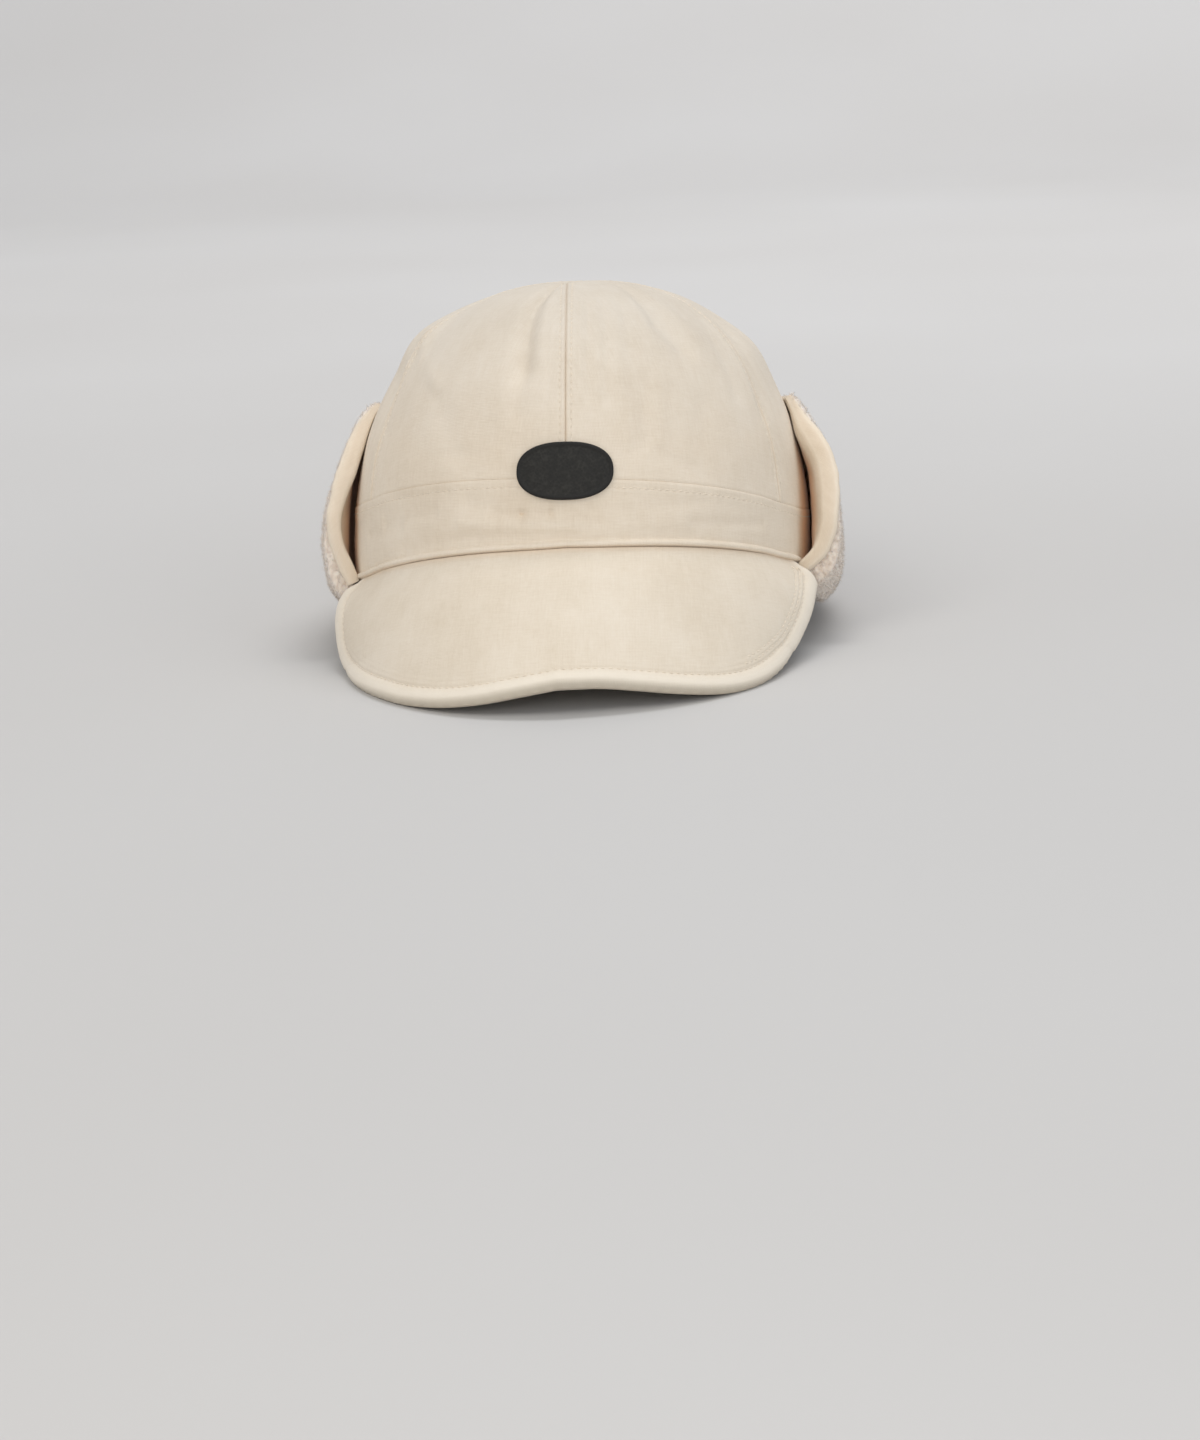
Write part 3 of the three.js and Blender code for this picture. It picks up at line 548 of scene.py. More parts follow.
cols = np.linspace(-1, 1, 331)
at = np.sin(cols * np.pi / 2)
v_rows = np.concatenate([np.linspace(0, 0.72, 46)[:-1], np.linspace(0.72, 0.97, 44)[:-1], [0.97, 0.975, 0.98, 0.985, 0.9895, 0.993, 0.996, 0.998, 0.9992, 1.0]])
AT = np.broadcast_to(at[:, None], (len(at), len(v_rows))).copy()
L = peak_length(AT)
W = v_rows[None, :] * L
E = edge_distance(AT, W)
E = np.where(v_rows[None, :] >= 0.99999, 0.0, E)
E = np.where(np.abs(AT) >= 0.999999, 0.0, E)
M = peak_mid(AT, W)
t = peak_mid(AT, W + 0.4) - peak_mid(AT, W - 0.4)
u = peak_mid(np.minimum(1, AT + 0.01), W) - peak_mid(np.maximum(-1, AT - 0.01), W)
N = unit(np.cross(t, u))
full = PEAK["root_thick"] + (PEAK["thick"] - PEAK["root_thick"]) * np.clip(W / 12, 0, 1)
r = np.clip(E / 2.6, 0, 1)
half = np.maximum(0.03, full / 2 * np.sqrt(1 - (1 - r) ** 2))
along = np.broadcast_to((at * SEAM_HALF)[:, None], E.shape)
flat_pos = np.stack([along, W, 0 * W], -1)
far = smoothstep(1.5, 6.0, W)
soft = 0.30 * noise3(flat_pos, 38, 41) + 0.12 * noise3(flat_pos, 15, 42) + 0.05 * noise3(flat_pos, 6, 43)
PEAK_ROWS = [6.6, 8.5, 10.4]
end_share = smoothstep(0.45, 0.8, AT)                    # the two inner rows show towards the +X end
tube = np.clip(E / 6.4, 0, 1)
roll = 0.95 * np.sin(np.pi * tube ** 0.82) ** 0.9 * (E < 6.4) - 0.22 * np.exp(-(((E - PEAK_ROWS[0]) / 0.7) ** 2))
for e in PEAK_ROWS[1:]:
    roll = roll - (0.04 + 0.12 * end_share) * np.exp(-(((E - e) / 0.42) ** 2))
roll = roll + (0.02 + 0.07 * end_share) * (np.exp(-(((E - 7.55) / 0.5) ** 2)) + np.exp(-(((E - 9.45) / 0.5) ** 2)))
pucker = 0.12 * noise3(np.stack([flat_pos[..., 0], flat_pos[..., 1], 0 * W], -1), 4.6, 44) * np.exp(-(((E - 5.2) / 2.6) ** 2))
root = np.exp(-((W / 1.5) ** 2)) * smoothstep(-0.2, 1.0, E + 2.0 * (W < 2.0))
back = unit(peak_mid(AT, W) - peak_mid(AT, W + 0.4))
top = M + N * (half + (soft + roll + pucker) * far * np.clip(E / 1.2, 0, 1) + 0.65 * root * (half > 0.5))[..., None] + back * (0.5 * np.exp(-((W / 1.0) ** 2)))[..., None]
bottom = M - N * (half + (0.6 * roll + 0.5 * soft) * far * np.clip(E / 1.2, 0, 1))[..., None]
flip = lambda g: g[:, ::-1]
# painted shade: tuck darkens the peak along its seam with the band, and edge drives the border and the painted shade
# round the underside of its rolled outer edge
peak = slab("peak_cloth", flip(stand(top, True)), flip(stand(bottom, True)), flip(np.stack([along, W], -1)), step=(4, 4),
            values={"edge": flip(E), "tuck": flip(0.20 * np.exp(-((W / 1.3) ** 2)))}, sharp=70)


def along_level(field, level, P, Nrm, cut):
    """the line across a grid where the field (falling towards the last row) passes a level, for the columns in cut"""
    pts, nrm = [], []
    for i in cut:
        f = field[i]
        j = np.where((f[:-1] >= level) & (f[1:] < level))[0]
        if len(j) == 0:
            continue
        j = j[-1]
        s = (f[j] - level) / (f[j] - f[j + 1])
        pts.append(P[i, j] * (1 - s) + P[i, j + 1] * s)
        nrm.append(Nrm[i, j])
    return np.array(pts), np.array(nrm)


for e in PEAK_ROWS:
    # the row follows the outline: along its front, then up both sides to the seam
    ok = [i for i in range(len(at)) if SEAM_HALF - abs(along[i, 0]) > e + 0.05 and (e < 7 or at[i] > 0.5)]
    pts, nrm = along_level(E, e, top, N, ok)
    side = []
    for s in (-1, 1):
        x = s * (1 - e / SEAM_HALF)
        w = np.linspace(1.5, max(2.5, float(peak_length(x)) - e * 1.6), 24)
        m = peak_mid(np.full_like(w, x), w)
        tt = peak_mid(np.full_like(w, x), w + 0.4) - peak_mid(np.full_like(w, x), w - 0.4)
        uu = peak_mid(np.full_like(w, min(1, x + 0.01)), w) - peak_mid(np.full_like(w, max(-1, x - 0.01)), w)
        n_ = unit(np.cross(tt, uu))
        fl = PEAK["root_thick"] + (PEAK["thick"] - PEAK["root_thick"]) * np.clip(w / 12, 0, 1)
        side.append((m + n_ * (fl / 2)[:, None], n_))
    P_ = np.concatenate(([side[0][0]] if e < 7 else []) + [pts, side[1][0][::-1]])
    N_ = np.concatenate(([side[0][1]] if e < 7 else []) + [nrm, side[1][1][::-1]])
    stitch_runs.append(("peak", stand(P_), turn_only(N_), 0.4 * e))


# ==== the flap ===================================================================================================
def stand_off(up, deg):
    t, d = np.clip(up, 0, 1), np.abs(signed180(deg))
    right = np.clip(0.5 + 0.55 * np.sin(np.radians(deg)), 0, 1)
    behind = d - look(FLAP_FRONT, t)
    l, r = look(FLAP_SIDE, behind, 1) * look(FLAP_STAND, t, 1), look(FLAP_SIDE, behind, 2) * look(FLAP_STAND, t, 2)
    return FLAP["start"] + l * (1 - right) + r * right


def flap_parts(u, up):
    u, up = np.broadcast_arrays(np.asarray(u, float), np.asarray(up, float))
    front = look(FLAP_FRONT, up)
    deg = front + (360 - 2 * front) * u
    d = np.abs(signed180(deg))
    low, top = rim_height(deg), look(FLAP_RUN, d, 1) + SKEW["flap_top"] * np.sin(np.radians(deg))
    z = low + (top - low) * up
    r = stand_off(up, deg)
    n = crown_normal(deg, np.maximum(0, z))
    side = unit(np.stack([n[..., 0], n[..., 1], 0 * z], -1))
    h = 0.004
    dr = stand_off(up + h, deg) - stand_off(np.maximum(0, up - h), deg)
    lean = np.hypot(n[..., 0], n[..., 1])
    z_up = (top - low) * np.where((up > 0) & (up < 1), 2 * h, h)
    out, down = lean * z_up, -dr + z_up * n[..., 2]
    k = np.hypot(out, down)
    return crown_base(deg, z), side, r, lean, n[..., 2], out / k, down / k, deg, z


def flap_point(u, up, off, way=None):
    b, side, r, lean, nz, out, down, deg, z = flap_parts(u, up)
    if way is not None:
        k = np.hypot(way[0], way[1])
        out, down = way[0] / k, way[1] / k
    off = np.asarray(off, float)
    return b + side * (r * lean + out * off)[..., None] + np.stack([0 * z, 0 * z, r * nz + down * off], -1)


# the cotton shell: the face that looks at the crown, with its two front edges rolled out over the pile as lips
flap_len = 395.0
lip = [(2.9, 1.7), (2.75, 3.3), (2.7, 4.6), (2.45, 4.98), (2.05, 5.15), (1.6, 5.2), (1.15, 5.12), (0.72, 4.9), (0.36, 4.5), (0.12, 3.95),
       (0.0, 3.3), (-0.06, 2.6), (0.0, 1.9), (0.12, 1.25), (0.36, 0.7), (0.72, 0.3), (1.15, 0.09), (1.6, 0.0), (2.2, -0.02), (2.9, 0.0)]
s_mid = np.concatenate([np.linspace(3.6, 40, 46), np.linspace(41.5, flap_len - 41.5, 170), np.linspace(flap_len - 40, flap_len - 3.6, 46)])
path = lip + [(s, 0.0) for s in s_mid] + [(flap_len - s, o) for s, o in lip[::-1]]
U = np.array([p[0] for p in path]) / flap_len
OFF = np.array([p[1] for p in path])
back_s = np.concatenate([np.linspace(2.95, 3.3, len(lip)), s_mid, np.linspace(flap_len - 3.3, flap_len - 2.95, len(lip))])
ups = np.concatenate([[0, 0.006, 0.014], np.linspace(0.025, 0.95, 66), [0.96, 0.969, 0.977, 0.984, 0.99, 0.994, 0.9975, 1.0]])
UU, UP = np.meshgrid(U, ups, indexing="ij")
OO = np.broadcast_to(OFF[:, None], UU.shape).copy()
OO = np.where(OO > FLAP["shell"], FLAP["shell"] + (OO - FLAP["shell"]) * np.where(UU < 0.5, look(FLAP_FRONT, UP, 3), look(FLAP_FRONT, UP, 2)), OO)
S_mm = UU * flap_len
H_mm = UP * 64.0
edge_s = np.minimum(S_mm, flap_len - S_mm)
hem = (1 - UP) * 64.0
pos = np.stack([S_mm, H_mm, 0 * S_mm], -1)
mid_face = smoothstep(3.0, 7.0, edge_s)
wave = (0.45 * noise3(pos, 30, 51) + 0.16 * noise3(pos, 11, 52)) * mid_face
wave = wave * smoothstep(0, 0.15, UP)
fold_over = np.clip(hem / 0.8, 0, 1)
top_round = 0.8 * (1 - np.sqrt(1 - (1 - fold_over) ** 2))           # the top edge is a soft fold
groove = -0.22 * (np.exp(-(((hem - 5.0) / 0.4) ** 2)) + np.exp(-(((edge_s - 6.2) / 0.4) ** 2)) * mid_face)
OO = OO - wave * 0.8 + top_round * mid_face - groove * np.where(mid_face > 0.2, 1, 0)
# the front edges are soft rolls, behind which the flap's inner face closes in on the crown
swell_in = np.where(UU < 0.5, look([(0, 0.1), (0.12, 0.4), (0.3, 0.8), (0.55, 1.2), (0.78, 1.3), (0.92, 0.7), (1, 0.1)], UP),
                    look([(0, 0.1), (0.12, 0.0), (0.3, -0.5), (0.55, 0.1), (0.78, 0.7), (0.92, 0.5), (1, 0.1)], UP))
swell_in = swell_in * (1 + 0.25 * noise3(np.stack([np.where(UU < 0.5, 70.0, 10.0), H_mm, 0 * H_mm], -1), 7.0, 55))
inner_side = smoothstep(3.2, 0.4, OO)
DEG = look(FLAP_FRONT, UP) + (360 - 2 * look(FLAP_FRONT, UP)) * UU
upper = smoothstep(0.55, 0.85, UP)
room = np.maximum(0.0, stand_off(UP, DEG) - (2.0 - 1.2 * upper))
close = smoothstep(0.3 / 20.0, 1.0, edge_s / (20.0 - 11.0 * upper)) * (1 - 0.6 * smoothstep(24.0, 46.0, edge_s)) * (1 + 0.10 * noise3(pos, 9, 56))
OO = OO - (swell_in * np.exp(-(((edge_s - 4.2) / 4.2) ** 2)) + room * np.clip(close, 0, 1)) * inner_side
# lips: soft, slightly uneven thickness
lip_zone = 1 - mid_face
side_no = np.where(UU < 0.5, 40.0, 0.0)
swell = 1 + (0.10 * noise3(np.stack([side_no, H_mm, 0 * H_mm], -1), 11, 53) + 0.05 * noise3(np.stack([side_no, H_mm, 0 * H_mm], -1), 4.5, 54)) * lip_zone
OO = np.where(lip_zone > 0.5, OO * swell, OO)
shell_out = flap_point(UU, UP, OO)
shell_back = flap_point(np.broadcast_to((back_s / flap_len)[:, None], UU.shape), UP, np.full(UU.shape, FLAP["shell"]))
# seen from the crown's side i runs to the left, so the grid is turned
# painted shade: tuck darkens the flap's inner face away from its front edges and top, and edge darkens it at its hem
# and front edges
flap_shell = slab("flap_cotton", stand(shell_out)[::-1], stand(shell_back)[::-1], np.stack([S_mm, H_mm + OO], -1)[::-1], step=(6, 6),
                  values={"edge": np.minimum(hem, edge_s)[::-1] + 0.5, "tuck": (smoothstep(2.2, 15.0, edge_s) * smoothstep(0.5, 9.0, hem))[::-1]}, sharp=75)
sel = np.where((U * flap_len > 6.2) & (U * flap_len < flap_len - 6.2))[0]
j5 = int(np.argmin(np.abs((1 - ups) * 64.0 - 5.0)))
nrm = -unit(flap_parts(UU[sel, j5], UP[sel, j5])[1])
stitch_runs.append(("flap", stand(shell_out[sel, j5]), turn_only(nrm), 0.0))


# ==== the fleece =================================================================================================
def catmull(P, t):
    """P is (n, k, 3) control points; t are positions from 0 to k - 1; ends repeat"""
    k = P.shape[1]
    i = np.clip(np.floor(t).astype(int), 0, k - 2)
    f = (t - i)[None, :, None]
    g = lambda j: P[:, np.clip(j, 0, k - 1)]
    p0, p1, p2, p3 = g(i - 1), g(i), g(i + 1), g(i + 2)
    return 0.5 * (2 * p1 + (p2 - p0) * f + (2 * p0 - 5 * p1 + 4 * p2 - p3) * f ** 2 + (3 * p1 - p0 - 3 * p2 + p3) * f ** 3)


FLEECE = {"columns": 540, "rows": 124, "curl": 2.7, "cap": 9}
inner_off = FLAP["shell"] + GAP
fu = np.linspace(FLAP["pile_start"], 1 - FLAP["pile_start"], FLEECE["columns"])


def fleece_lines(u):
    front = float(look(FLAP_FRONT, 0.0))
    deg = front + (360 - 2 * front) * u
    low = rim_height(deg)
    n = crown_normal(deg, np.zeros_like(deg))

    def tuck(r, z):
        b = crown_base(deg, low + z)
        return b + np.stack([n[:, 0] * r, n[:, 1] * r, 0 * r * n[:, 0]], -1)
    out, inn = [tuck(-2.6, -2.4), tuck(-1.6, -6.6)], [tuck(-2.0, -0.4), tuck(-0.4, -2.1)]
    for up, pile, wo, wd in FLAP_RISE:
        foot = flap_point(u, up, inner_off)
        inn.append(foot)
        way = (wo, wd) if up < 0.25 else None
        out.append(foot + flap_point(u, up, inner_off + pile, way) - flap_point(u, up, inner_off, way))
    return np.stack(out, 1), np.stack(inn, 1)


out_c, in_c = fleece_lines(fu)
fine = np.linspace(0, out_c.shape[1] - 1, 700)
probe = catmull(out_c[::40], fine)
s = np.concatenate([[0], np.cumsum(np.linalg.norm(np.diff(probe, axis=1), axis=2).mean(0))])
tt = np.interp(np.linspace(0, s[-1], FLEECE["rows"]), s, fine)
outer = catmull(out_c, tt)
inner = catmull(in_c, tt)
rise_mm = np.linspace(0, s[-1], FLEECE["rows"])
# the two free ends are rounded over and closed with pile
capn = FLEECE["cap"]
ends = []
for e, sgn in ((0, -1), (-1, 1)):
    o, i_ = outer[e], inner[e]
    nxt = outer[1] - outer[0] if e == 0 else outer[-1] - outer[-2]
    fwd = unit(nxt) * sgn * (1 if e else 1)
    fwd = unit(outer[-1] - outer[-2]) if e else unit(outer[0] - outer[1])
    cols_ = []
    for q in range(1, capn + 1):
        a_ = q / capn
        cols_.append(o * (1 - a_) + i_ * a_ + fwd * (1.1 * math.sin(math.pi * min(1.0, a_ * 1.02)))[..., None] if False else o * (1 - a_) + i_ * a_ + fwd * 1.1 * math.sin(math.pi * a_))
    ends.append(np.stack(cols_))
outer_all = np.concatenate([ends[0][::-1], outer, ends[1]])
inner_all = np.concatenate([np.repeat(inner[:1], capn, 0), inner, np.repeat(inner[-1:], capn, 0)])
# keep the closing strip off zero width
inner_all[:capn] += (inner[1] - inner[0])[None] * np.linspace(0.0, 0.4, capn)[:, None, None]
inner_all[-capn:] += (inner[-2] - inner[-1])[None] * np.linspace(0.4, 0.0, capn)[:, None, None]
step_mm = np.linalg.norm(np.diff(outer_all, axis=0), axis=2).mean(1)
run_mm = np.concatenate([[0], np.cumsum(step_mm)])
RX = np.broadcast_to(run_mm[:, None], outer_all.shape[:2])
RY = np.broadcast_to(rise_mm[None, :], outer_all.shape[:2])


def cells(x, y, size, seed):
    """distance to the nearest and second nearest of scattered points, the nearest one's own number and bearing"""
    rng = np.random.default_rng(seed)
    table = rng.random((97, 89, 3))
    cx, cy = np.floor(x / size).astype(int), np.floor(y / size).astype(int)
    best, second = np.full(x.shape, 9e9), np.full(x.shape, 9e9)
    who, bear = np.zeros(x.shape), np.zeros(x.shape)
    for a_ in (-1, 0, 1):
        for b_ in (-1, 0, 1):
            r_ = table[(cx + a_) % 97, (cy + b_) % 89]
            dx, dy = (cx + a_ + r_[..., 0]) * size - x, (cy + b_ + r_[..., 1]) * size - y
            d_ = np.hypot(dx, dy)
            new = d_ < best
            second = np.where(new, best, np.minimum(second, d_))
            best = np.where(new, d_, best)
            who = np.where(new, r_[..., 2], who)
            bear = np.where(new, np.arctan2(dy, dx), bear)
    return best, second, who, bear


wx = RX + 1.5 * noise3(np.stack([RX, RY, 0 * RX], -1), 4.2, 61) + 0.6 * noise3(np.stack([RX, RY, 0 * RX], -1), 1.9, 66)
wy = RY + 1.5 * noise3(np.stack([RX, RY, 0 * RX + 40], -1), 4.2, 62) + 0.6 * noise3(np.stack([RX, RY, 0 * RX + 40], -1), 1.9, 67)
f1, f2, who, bear = cells(wx, wy, FLEECE["curl"], 63)
tuft = np.sqrt(np.clip(1 - (f1 / (FLEECE["curl"] * 0.86)) ** 2, 0, 1))
part = smoothstep(0.0, 1.0, f2 - f1)
swirl = np.sin(bear * 2 + f1 * 3.6 + who * 40)
g1, g2, gwho, gb = cells(wx + 50, wy + 20, 1.35, 64)
small = np.sqrt(np.clip(1 - (g1 / 1.1) ** 2, 0, 1))
lift = 0.62 * tuft * (0.55 + 0.45 * part) + 0.16 * swirl * tuft + 0.26 * small + 0.40 * noise3(np.stack([RX, RY, 0 * RX], -1), 13, 65)
lift = lift + 0.20 * noise3(np.stack([RX, RY, 0 * RX], -1), 1.6, 68) - 0.80
pile_depth = smoothstep(-1.2, 0.35, lift)
nrm = grid_normals(outer_all)
near_end = np.clip(np.minimum(np.arange(len(run_mm)), np.arange(len(run_mm))[::-1])[:, None] / 3.0, 0, 1)
low_end = np.clip(rise_mm[None, :] / 1.5, 0, 1) * np.clip((s[-1] - rise_mm[None, :]) / 1.2 + 0.15, 0, 1)
moved = outer_all + nrm * (lift * near_end * low_end)[..., None]
fleece_outer = stand(moved, True)
fleece_inner = stand(inner_all, True)
# painted shade: pile darkens the fleece in the hollows between its tufts
fleece = slab("fleece_pile", fleece_outer, fleece_inner, np.stack([RX, RY], -1), step=(8, 8), values={"pile": pile_depth}, sharp=None)

# fine curly fibres that break up the pile's surface and its outline
def fibres(name, count, seed, reach):
    rng = np.random.default_rng(seed)
    F = fleece_outer
    cross = np.cross(F[1:, :-1] - F[:-1, :-1], F[:-1, 1:] - F[:-1, :-1])
    cell_n, area = unit(cross), np.linalg.norm(cross, axis=2)
    weight = (area * (0.30 + pile_depth[:-1, :-1]) * (F[:-1, :-1, 2] > 0.6)).ravel()
    pi, pj = np.unravel_index(rng.choice(len(weight), count, p=weight / weight.sum()), area.shape)
    a_, b_ = rng.random(count)[:, None], rng.random(count)[:, None]
    root = F[pi, pj] * (1 - a_) * (1 - b_) + F[pi + 1, pj] * a_ * (1 - b_) + F[pi, pj + 1] * (1 - a_) * b_ + F[pi + 1, pj + 1] * a_ * b_
    n_ = cell_n[pi, pj]
    t_ = unit(np.cross(n_, unit(rng.normal(size=(count, 3)))))
    b2 = np.cross(n_, t_)
    length = rng.uniform(reach[0], reach[1], count)[:, None]
    thick = rng.uniform(0.06, 0.12, count)[:, None]
    bend = rng.uniform(0.4, 1.6, count)[:, None]
    mid = root + n_ * length * 0.42 + t_ * length * 0.20 * bend
    tip = root + n_ * length * 0.55 + t_ * length * 0.62 * bend + b2 * length * rng.uniform(-0.5, 0.5, (count, 1))
    root = root - n_ * 0.25
    verts = []
    for ring_c, rad in ((root, thick), (mid, thick * 0.8)):
        for q in range(3):
            ang = 2 * math.pi * q / 3
            verts.append(ring_c + (t_ * math.cos(ang) + b2 * math.sin(ang)) * rad)
    verts.append(tip)
    V = np.stack(verts, 1)                                  # (n, 7, 3)
    keep = V[..., 2].min(1) > 0.02
    V = V[keep]
    base_i = (np.arange(len(V)) * 7)[:, None]
    quads = np.concatenate([base_i + np.array([q, (q + 1) % 3, 3 + (q + 1) % 3, 3 + q]) for q in range(3)])
    tris = np.concatenate([base_i + np.array([3 + q, 3 + (q + 1) % 3, 6]) for q in range(3)] + [base_i + np.array([2, 1, 0])])
    tone = np.repeat(rng.uniform(0.62, 1.0, len(V)), 7)
    return make_mesh(name, V.reshape(-1, 3), [quads, tris], uv=V.reshape(-1, 3)[:, :2], values={"pile": tone})


fuzz = [fibres("fleece_fibres_short", 17500, 70, (0.9, 1.9)), fibres("fleece_fibres_long", 13500, 71, (1.5, 2.7))]


# ==== the patch ==================================================================================================
def patch_mesh():
    k = 1 / (math.pi / 180 * 96)
    sides = 144
    ang = np.arange(sides) / sides * 2 * math.pi
    hw, hh = PATCH["half_width"], PATCH["half_height"]

    def loop(inset):
        """the outline drawn in by `inset` mm; it grows rounder towards the middle"""
        share = 1 - inset / hh
        e = 2 / (2 + (PATCH["squareness"] - 2) * max(0.0, share))
        a_, b_ = max(hw - inset, 0.0), max(hh - inset, 0.0)
        a_ = a_ * (0.0 if share <= 0 else 1.0)
        return np.stack([a_ * np.sign(np.cos(ang)) * np.abs(np.cos(ang)) ** e, b_ * np.sign(np.sin(ang)) * np.abs(np.sin(ang)) ** e], -1)

    def height(x, y, high, weight):
        q = np.stack([x, y, 0 * x], -1)
        return high + weight * (0.10 * noise3(q, 7.5, 83) + 0.06 * noise3(q, 3.2, 82) + 0.035 * noise3(q, 1.3, 81))

    # inset from the edge in mm, height above the cloth: round the edge, over the raised rim, into the face
    prof = [(0.30, 0.12), (0.06, 0.30), (0.0, 0.6), (0.02, 0.95), (0.1, 1.28), (0.26, 1.54), (0.5, 1.70), (0.8, 1.75), (1.1, 1.72), (1.4, 1.60),
            (1.65, 1.46), (1.9, 1.38), (2.3, 1.36), (2.9, 1.39), (3.6, 1.42), (4.4, 1.45), (5.2, 1.47)]
    rings, flat_xy = [], []
    for inset, high in prof:
        xy = loop(inset)
        flat_xy.append((xy, high, smoothstep(1.2, 2.4, inset)))
    core = loop(prof[-1][0])
    for share in (0.86, 0.72, 0.58, 0.45, 0.33, 0.22, 0.12):
        flat_xy.append((core * share, 1.47 + 0.03 * (1 - share), 1.0))
    for xy, high, weight in flat_xy:
        deg, z = PATCH["deg"] + xy[:, 0] * k, PATCH["z"] + xy[:, 1]
        rings.append(stand(crown_point(deg, z, height(xy[:, 0], xy[:, 1], high, weight) + GAP * 0.3 - lines_at(DENTS, deg, z))))
    foot = flat_xy[0][0]
    deg, z = PATCH["deg"] + foot[:, 0] * k, PATCH["z"] + foot[:, 1]
    back = stand(crown_point(deg, z, GAP * 0.3 - lines_at(DENTS, deg, z)))
    cd, cz = np.array([PATCH["deg"]]), np.array([PATCH["z"]])
    centre = stand(crown_point(cd, cz, height(0 * cd, 0 * cd, 1.5, 1.0) + GAP * 0.3 - lines_at(DENTS, cd, cz)))
    verts = np.concatenate([back] + rings + [centre])
    xy = np.concatenate([foot] + [f_[0] for f_ in flat_xy] + [np.zeros((1, 2))])
    n = len(rings) + 1
    idx = np.arange(sides)
    nx = (idx + 1) % sides
    q = [np.stack([r_ * sides + idx, r_ * sides + nx, (r_ + 1) * sides + nx, (r_ + 1) * sides + idx], -1) for r_ in range(n - 1)]
    top_ = np.stack([(n - 1) * sides + idx, (n - 1) * sides + nx, np.full(sides, n * sides)], -1)
    bottom_ = [list(range(sides))[::-1]]
    rim = np.concatenate([np.zeros(sides)] + [np.full(sides, p_[0]) for p_ in prof] + [np.full(sides, 9.9)] * 7 + [np.array([9.9])])
    return make_mesh("patch_plain", verts, [np.concatenate(q), top_, bottom_], uv=xy, values={"rim": rim}, sharp=None)


patch = patch_mesh()


# ==== stitches ===================================================================================================
def stitches(name, runs):
    prof = [(-0.5, 0.0), (-0.38, 0.72), (-0.14, 1.0), (0.14, 1.0), (0.38, 0.72), (0.5, 0.0)]
    sides = 6
    all_v, quads_, tris_, count = [], [], [], 0
    for pts, nrm, start in runs:
        if len(pts) < 3:
            continue
        seg = np.linalg.norm(np.diff(pts, axis=0), axis=1)
        s_ = np.concatenate([[0], np.cumsum(seg)])
        total = s_[-1]
        if total < STITCH["pitch"] * 2:
            continue
        c_ = np.arange(STITCH["pitch"] * (0.5 + start), total - STITCH["pitch"] * 0.5, STITCH["pitch"])
        sample = lambda x: np.stack([np.interp(x, s_, pts[:, k]) for k in range(3)], -1)
        mid_ = sample(c_)
        a0, a1 = sample(c_ - STITCH["length"] / 2), sample(c_ + STITCH["length"] / 2)
        t_ = unit(a1 - a0)
        n_ = unit(np.stack([np.interp(c_, s_, nrm[:, k]) for k in range(3)], -1))
        b_ = unit(np.cross(n_, t_))
        n_ = np.cross(t_, b_)
        ln = np.linalg.norm(a1 - a0, axis=1, keepdims=True)
        rows_ = []
        for x, rr in prof:
            arch = 0.10 - 0.42 * (abs(x) * 2) ** 3        # both ends dip into the cloth
            ctr = mid_ + t_ * ln * x + n_ * arch * 0.9
            if rr == 0:
                rows_.append(ctr[:, None])
            else:
                ring_ = [ctr + (b_ * math.cos(2 * math.pi * q / sides) + n_ * math.sin(2 * math.pi * q / sides)) * STITCH["radius"] * rr for q in range(sides)]
                rows_.append(np.stack(ring_, 1))
        V_ = np.concatenate(rows_, 1)                    # (n, 26, 3)
        per = V_.shape[1]
        base_ = count + (np.arange(len(V_)) * per)[:, None]
        count += per * len(V_)
        all_v.append(V_.reshape(-1, 3))
        for q in range(sides):
            q2 = (q + 1) % sides
            tris_.append(base_ + np.array([0, 1 + q2, 1 + q]))
            tris_.append(base_ + np.array([per - 1, per - 1 - sides + q, per - 1 - sides + q2]))
            for r_ in range(len(prof) - 3):
                quads_.append(base_ + np.array([1 + r_ * sides + q, 1 + r_ * sides + q2, 1 + (r_ + 1) * sides + q2, 1 + (r_ + 1) * sides + q]))
    V_ = np.concatenate(all_v)
    return make_mesh(name, V_, [np.concatenate(quads_), np.concatenate(tris_)], uv=V_[:, :2])


threads = {}
for group in ("crown", "band", "peak", "flap"):
    threads[group] = stitches("stitches_" + group, [(p, n, st) for g, p, n, st in stitch_runs if g == group])


# ==== materials ==================================================================================================
def new_material(name):
    m = bpy.data.materials.new(name)
    m.use_nodes = True
    nt = m.node_tree
    bsdf = nt.nodes["Principled BSDF"]
    return m, nt, bsdf


